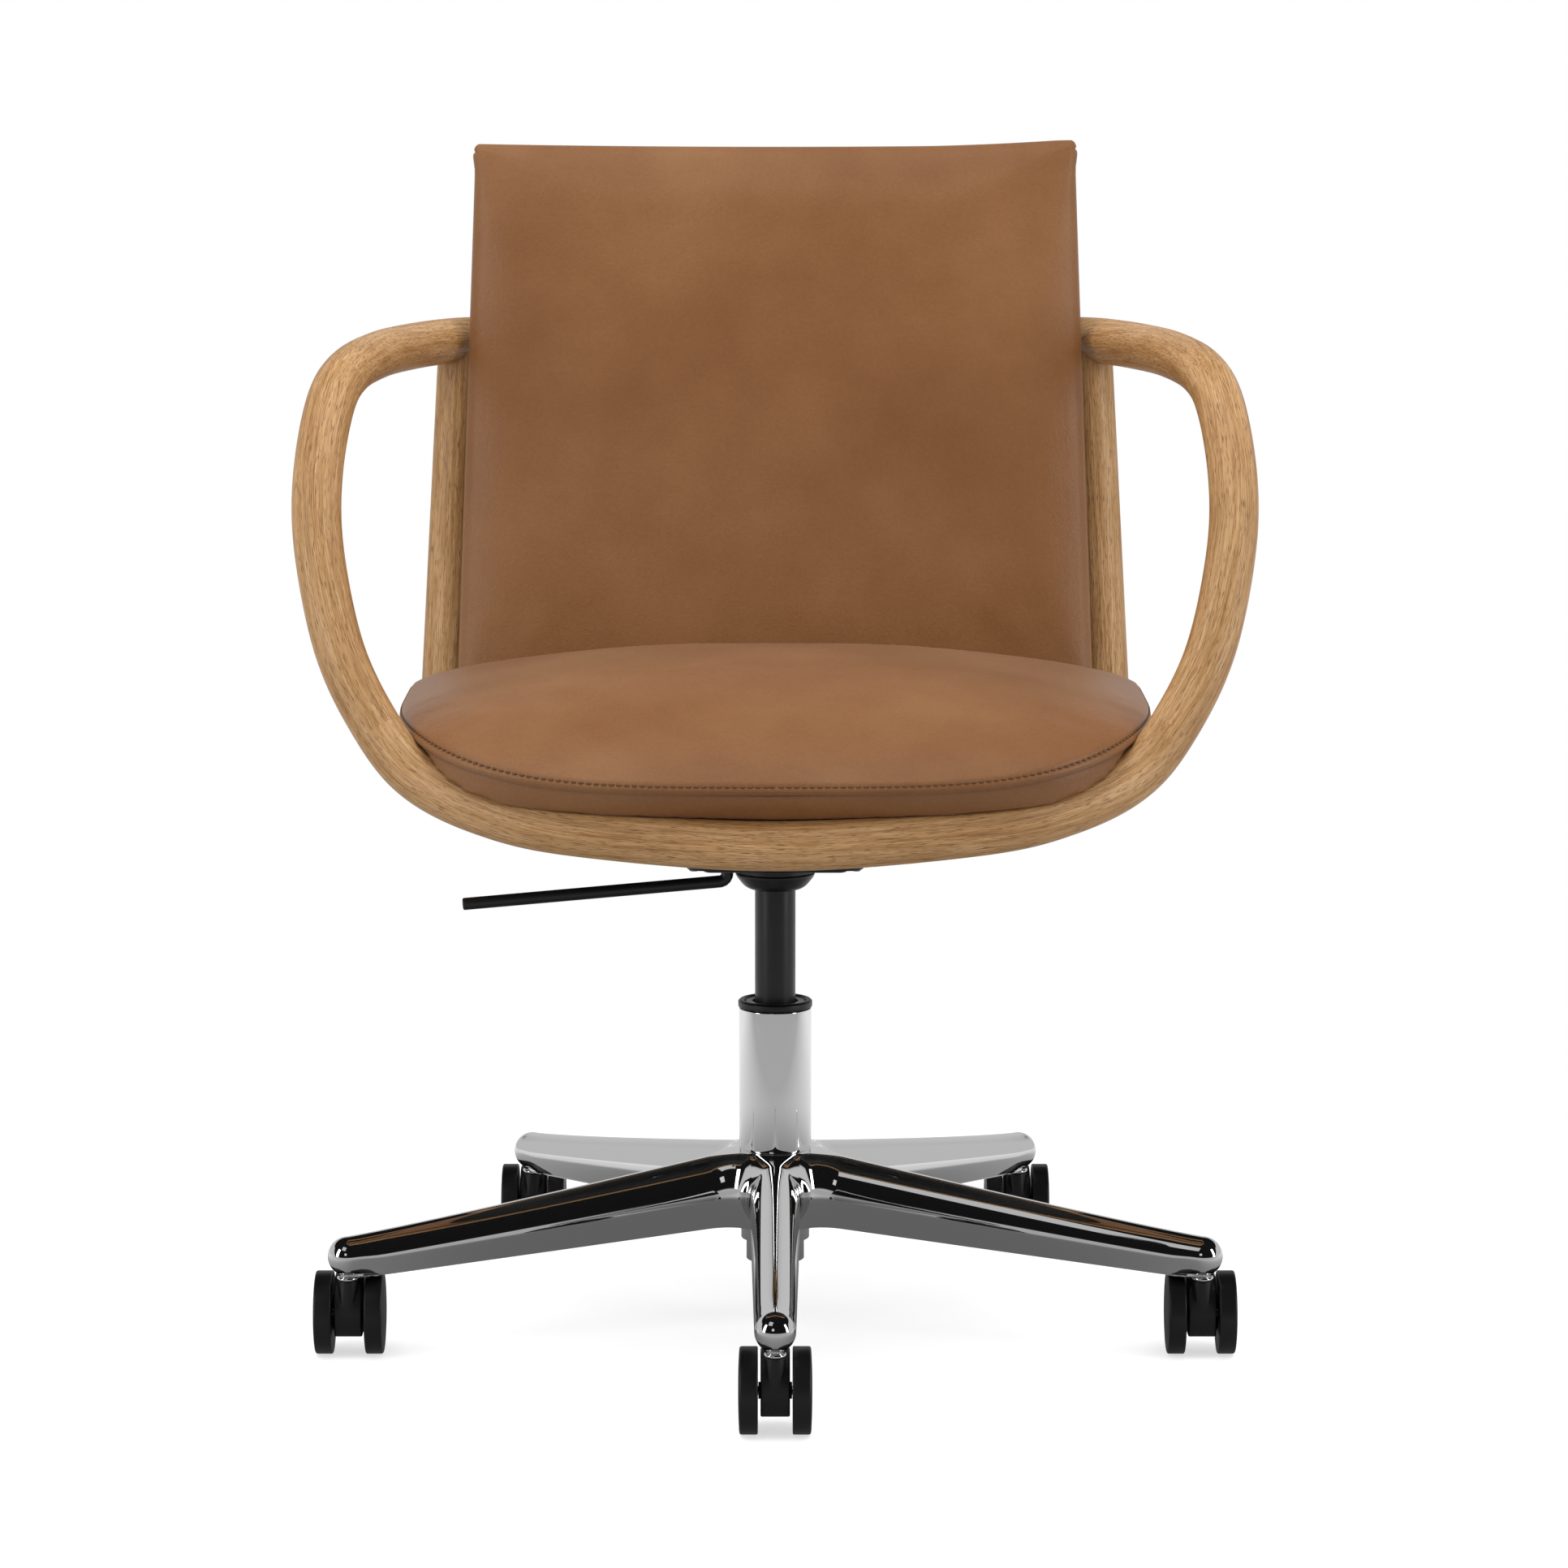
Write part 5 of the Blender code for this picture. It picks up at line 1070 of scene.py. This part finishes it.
def build_plate():
    """The mounting plate: a thick flange, a shallow tray below it, a cup and the lever's window."""
    top, flange_low, tray_low, floor = 0.3365, 0.3313, 0.3282, 0.3304
    inset, sheet, cup = 0.0100, 0.0022, 0.0275
    profile = rounded([
        (0.0200, tray_low), (inset + sheet, tray_low), (inset, floor), (inset, flange_low),
        (0.0, flange_low), (0.0, top), (inset + sheet, top), (inset + sheet, floor),
        (0.0200, floor),
    ], 0.0012)
    rings = []
    for step, z in profile:
        outline = rounded_rectangle(0.0600 - step, 0.0700 - step, max(0.012 - step, 0.004))
        rings.append(np.concatenate([outline, np.full((len(outline), 1), z)], 1))
    plate = make_piece("plate_pressing", [(np.array(rings), True, False)], POWDER)
    outer = turned_grid([
        (0, 0.3200), (cup - 0.0005, 0.3200), (cup, 0.3205), (cup, 0.3293), (0, 0.3293),
    ])
    inner = turned_grid([(0, 0.3222), (cup - sheet, 0.3222), (cup - sheet, 0.3330), (0, 0.3330)])
    bore = turned_grid([(0, 0.3100), (0.0145, 0.3100), (0.0145, 0.3232), (0, 0.3232)])
    x = np.array((-0.04075, -0.0183, -0.0183, -0.04075))
    y = np.array((-0.0149, -0.0149, 0.0029, 0.0029))
    window = np.array([np.stack([x, y, np.full(4, z)], 1) for z in (0.3261, 0.3315)])
    tools = [make_piece(name, [(grid, True, False)], POWDER) for name, grid in (
        ("cup", outer), ("cup_inside", inner), ("spring_hole", bore), ("lever_window", window),
    )]
    carve(plate, tools[:1], tools[1:])
    settle(plate, "seat", "black_steel", "mounting_plate")


def build_lever():
    """The release lever: a bent black rod with a rounded end, its paddle and its eye."""
    slope, bend, radius = math.radians(5.1), 0.0055, 0.00425
    x, y, corner = -0.0330, -0.0060, 0.3144
    turn = math.pi / 2 + slope
    tangent = bend / math.tan(turn / 2)
    sweep = np.linspace(0, math.pi - turn, 16)[:, None]
    arc = np.array((x - bend, y, corner + tangent)) + bend * np.concatenate(
        [np.cos(sweep), np.zeros_like(sweep), -np.sin(sweep)], 1)
    along = np.array((-math.cos(slope), 0, -math.sin(slope)))
    run = (0.2150 + x - tangent) / math.cos(slope)
    end = arc[-1] + along * run
    path = resample(np.concatenate([[(x, y, 0.3320)], arc, [end]]), 0.002)
    scale = np.concatenate([np.ones(len(path)), [0.93, 0.78]])
    tip = path[-1] - np.outer((LEVER_TIP_SOFT, LEVER_TIP_SOFT * 0.3, 0), along)
    path = np.concatenate([path[:-1], tip])
    angle = circle(32)
    section = radius * np.stack([np.cos(angle), np.sin(angle)], 1)
    ways = path_tangents(path)
    ways[-3:] = along
    rod = swept_grid(path, ways, section, (0, 1, 0), scale)
    low, high, half = 0.3267, 0.3297, 0.0080
    outline = rounded([
        (0.004, y - half), (0.004, y + half), (-0.0355, y + half), (-0.0355, y - half),
        (0.004, y - half), (0.004, y + half),
    ], 0.002)[1:-1]
    z = np.array((low, low + 0.0004, high - 0.0004, high))
    inset = np.array((0.985, 1.0, 1.0, 0.985))
    centre = np.array((-0.01575, y))
    paddle = np.concatenate([
        np.broadcast_to(centre + (outline - centre) * inset[:, None, None], (4, 20, 2)),
        np.broadcast_to(z[:, None, None], (4, 20, 1)),
    ], 2)
    eye = turned_grid([(0.0021, -half), (0.0046, -half), (0.0046, half), (0.0021, half)], sides=32)
    eye = eye[..., [0, 2, 1]] + np.array((-0.02288, y, 0.3313))
    grids = [(rod, True, False), (paddle, True, False), (eye, True, True)]
    lever = make_piece("lever_rod", grids, POWDER, 40.0)
    settle(lever, "lever", "black_steel", "release_lever")


# Casters

def caster_body():
    """The housing at the stem's foot: a drum cut flat below, joined to a round socket."""
    half, soft = CASTER_BODY_WIDTH / 2, 0.0012
    middle = np.array((CASTER_TRAIL + CASTER_BODY_BACK, WHEEL_RADIUS + CASTER_BODY_RISE))
    dip = math.asin((middle[1] - CASTER_BODY_LIFT) / CASTER_BODY_RADIUS)
    a = np.linspace(-dip, math.pi + dip, 72)
    arc = middle + CASTER_BODY_RADIUS * np.stack([np.cos(a), np.sin(a)], 1)
    corners = rounded(np.concatenate([arc[-2:], arc[:2]]), 0.0015, 5)[1:-1]
    outline = np.concatenate([arc[2:-2], corners])
    t = np.linspace(0, math.pi / 2, 5)
    shrink = np.concatenate([soft * (1 - np.sin(t)), soft * (1 - np.sin(t[::-1]))])
    x = np.concatenate([-half + soft * (1 - np.cos(t)), half - soft * (1 - np.cos(t[::-1]))])
    rows = outline[None] - unit(outline - middle)[None] * shrink[:, None, None]
    grid = np.concatenate([np.broadcast_to(x[:, None, None], (len(x), len(outline), 1)), rows], 2)
    drum = make_piece("caster_drum", [(grid, True, False)], NYLON)
    profile = rounded([
        (0, 0.0285), (SOCKET_RADIUS - 0.001, 0.0285), (SOCKET_RADIUS, 0.031),
        (SOCKET_RADIUS, SOCKET_TOP), (0.0046, SOCKET_TOP), (0.0046, SOCKET_TOP - 0.001),
        (0, SOCKET_TOP - 0.001),
    ], 0.0007)
    socket = make_piece("caster_socket", [(turned_grid(profile, sides=64), True, False)], NYLON)
    reach = half + CASTER_SIDE_GAP - GAP
    boss = turned_grid([(0, -reach), (0.0055, -reach), (0.0055, reach), (0, reach)],
                       (0, CASTER_TRAIL, WHEEL_RADIUS), "X", 48)
    boss = make_piece("caster_boss", [(boss, True, False)], NYLON)
    return carve(drum, [socket, boss])


def build_casters():
    """Five twin-wheel casters: stem, body, axle and two domed wheels each."""
    model = caster_body()
    inner = CASTER_BODY_WIDTH / 2 + CASTER_SIDE_GAP
    wheel = rounded([
        (0, 0.0080), (0.0100, 0.0080), (0.0120, 0.0), (0.0284, 0.0), (0.0284, 0.0116),
        (0.0262, 0.0121), (0.0140, 0.0127), (0, 0.0128),
    ], [0.001, 0.0015, 0.0012, 0.0016, 0.003, 0.006], 6)
    for number, a in enumerate(circle(CASTER_COUNT) - math.pi / 2, 1):
        foot = BASE_RADIUS * np.array((math.cos(a), math.sin(a), 0))
        hub = foot + (0, CASTER_TRAIL, WHEEL_RADIUS)
        name = f"caster_{number}"
        turned_piece(f"{name}_pin", [
            (0, 0.0353), (0.0040, 0.0353), (0.0040, 0.0546), (0.0066, 0.0546), (0.0075, 0.0553),
            (0.0075, 0.0563), (0.0068, 0.0572), (0.0054, 0.0572), (0.0054, 0.0792), (0, 0.0792),
        ], CHROME, "base", "chrome", f"{name}_stem", 0.0004, False, centre=foot, sides=48)
        mesh = model.data.copy()
        moved = (mesh_points(mesh) + foot).astype(np.float32)
        mesh.vertices.foreach_set("co", moved.ravel())
        settle(add_object(f"{name}_body", mesh), name, "black_plastic", f"{name}_housing")
        for side, label in ((1, "left"), (-1, "right")):
            grid = turned_grid(wheel, hub + (side * inner, 0, 0), "X", 96, side)
            piece = make_piece(f"{name}_tyre_{label}", [(grid, True, False)], NYLON, 50.0)
            settle(piece, f"{name}_wheel_{label}", "black_plastic", f"{name}_wheel_{label}")
    bpy.data.objects.remove(model)


def dress_nodes():
    """Give the solids that stay their finishes."""
    steel = ["piston_rod", "rod_clip", "thrust_bearing", "release_button", "lever_pin"]
    steel += [f"{part}_screw_{number}" for part in ("plate", "back") for number in range(1, 5)]
    steel += [f"caster_{number}_axle" for number in range(1, CASTER_COUNT + 1)]
    for name in ("guide_bush", *steel):
        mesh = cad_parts[name].data
        mesh.materials.clear()
        mesh.materials.append(STEEL if name in steel else NYLON)


# Stage

def build_stage():
    """A pale floor that stays white to the camera and keeps the chair's shadow."""
    material, add = start_material("pale_floor")
    path = add("LightPath")
    place = add("TexCoord").outputs["Object"]
    parts = add("SeparateXYZ", {"Vector": place})
    # to the camera: white far off, and near the chair a diffuse floor that takes its shadow
    lit = add("BsdfDiffuse", {"Color": linear("#c8c8c8")})
    glow = add("Emission", {"Color": (1, 1, 1, 1), "Strength": 0.62})
    shaded = add("AddShader", {0: lit, 1: glow})
    white = add("Emission", {"Color": (1, 1, 1, 1), "Strength": 1.0})
    far = add("VectorMath", {0: place}, operation="LENGTH")
    fade = add("MapRange", {
        "Value": far.outputs["Value"], "From Min": 0.35, "From Max": 0.95,
    }, interpolation_type="SMOOTHSTEP")
    seen = add("MixShader", {"Fac": fade, 1: shaded, 2: white})
    # in polished metal the floor glows with painted light: a painted shadow dims it under the
    # chair, then it is grey in front and brighter towards the back
    ahead = add("MapRange", {
        "Value": parts.outputs["Y"], "From Min": -0.8, "From Max": 0.9,
        "To Min": 0.43, "To Max": 0.92,
    })
    # painted shadow of the chair in the mirrored floor: dimmest near the middle, lifting between
    # 0.17 m and 0.72 m out
    past_painted_shadow = add("MapRange", {
        "Value": far.outputs["Value"], "From Min": 0.17, "From Max": 0.72,
    }, interpolation_type="SMOOTHSTEP")
    level = add("MapRange", {"Value": past_painted_shadow, "To Min": 0.14, "To Max": ahead})
    mirrored = add("Emission", {"Color": (1, 1, 1, 1), "Strength": level})
    matt = add("BsdfDiffuse", {"Color": linear("#2c2c2c")})
    mirrored = add("AddShader", {0: mirrored, 1: matt})
    other = add("BsdfDiffuse", {"Color": linear("#b4b4b4")})
    dull = add("MixShader", {"Fac": path.outputs["Is Glossy Ray"], 1: other, 2: mirrored})
    both = add("MixShader", {"Fac": path.outputs["Is Camera Ray"], 1: dull, 2: seen})
    finish_material(material, both)
    mesh = bpy.data.meshes.new("floor")
    corners = [(-1, -1), (1, -1), (1, 1), (-1, 1)]
    mesh.from_pydata([(FLOOR_HALF * x, FLOOR_HALF * y, 0) for x, y in corners], [], [(0, 1, 2, 3)])
    mesh.materials.append(material)
    floor = add_object("floor", mesh)


def build_world():
    """White to the camera, a plain soft level on the chair, a dark ceiling in its reflections."""
    world = bpy.data.worlds.new("studio")
    bpy.context.scene.world = world
    add = start_tree(world)
    path = add("LightPath")
    way = add("TexCoord").outputs["Generated"]
    parts = add("SeparateXYZ", {"Vector": way})
    # a white backdrop stands behind, 30 degrees high, and ends at the floor in front
    limit = add("MapRange", {
        "Value": parts.outputs["Y"], "From Min": -0.35, "From Max": 0.15,
        "To Min": 0.03, "To Max": 0.50,
    })
    over = add("Math", {0: parts.outputs["Z"], 1: limit}, operation="SUBTRACT")
    edge = add("MapRange", {"Value": over, "From Min": -0.10, "From Max": 0.05})
    mirrored = ramp(add, edge, [(0.0, "#d2d2d2"), (0.5, "#c6c6c6"), (0.8, "#161616")])
    # soft light, strongest from straight above: 0.21 + 1.9 z^2
    steep = add("Math", {0: parts.outputs["Z"], 1: 2.0}, operation="POWER")
    fill = add("Math", {0: steep, 1: 1.9, 2: 0.21}, operation="MULTIPLY_ADD")
    soft = add("Mix", {
        "Factor": path.outputs["Is Glossy Ray"], "A": fill, "B": mirrored,
    }, data_type="RGBA", blend_type="MIX")
    colour = add("Mix", {
        "Factor": path.outputs["Is Camera Ray"], "A": soft.outputs["Result"], "B": (1, 1, 1, 1),
    }, data_type="RGBA", blend_type="MIX")
    glow = add("Background", {"Color": colour.outputs["Result"], "Strength": 1.0})
    add("OutputWorld", {"Surface": glow})


def add_lamp(name, place, target, width, height, power):
    """A rectangular soft lamp that faces a point."""
    lamp = bpy.data.lights.new(name, "AREA")
    lamp.shape, lamp.size, lamp.size_y, lamp.energy = "RECTANGLE", width, height, power
    thing = add_object(name, lamp)
    thing.location = place
    way = Vector(target) - Vector(place)
    thing.rotation_euler = way.to_track_quat("-Z", "Y").to_euler()
    return thing


def build_lamps():
    """Two boxes in front on the left, a tall one at each side and a ceiling lamp without glare."""
    add_lamp("key", (-0.91, -1.43, 2.05), (0, 0, 0.3), 0.90, 0.90, 1.5)
    ceiling = add_lamp("ceiling", (0, -0.30, 1.62), (0, 0.1, 0.5), 1.3, 0.4, 5.0)
    ceiling.visible_glossy = False
    add_lamp("left_tall", (-2.1, -1.25, 1.0), (0, 0, 0.45), 0.6, 1.7, 13.5)
    add_lamp("right_tall", (2.25, -1.05, 1.0), (0, 0, 0.45), 0.5, 1.7, 15)
    add_lamp("front_left", (-0.75, -3.6, 1.45), (0, 0, 0.5), 0.8, 0.8, 1.5)


def build_camera():
    """A long lens in front, a little above the seat, as the photograph was taken."""
    lens = bpy.data.cameras.new("camera")
    lens.lens, lens.sensor_width, lens.shift_x = LENS_MM, SENSOR_MM, SHIFT_X
    camera = add_object("camera", lens)
    camera.location = CAMERA_PLACE
    camera.rotation_euler = (math.radians(90 - CAMERA_DOWN_DEG), 0, 0)
    bpy.context.scene.camera = camera


build_camera()
build_world()
build_lamps()
build_stage()
build_oak()
build_seat()
build_back()
build_star()
build_column()
build_plate()
build_lever()
build_casters()
dress_nodes()
bpy.context.scene.view_settings.view_transform = "Standard"
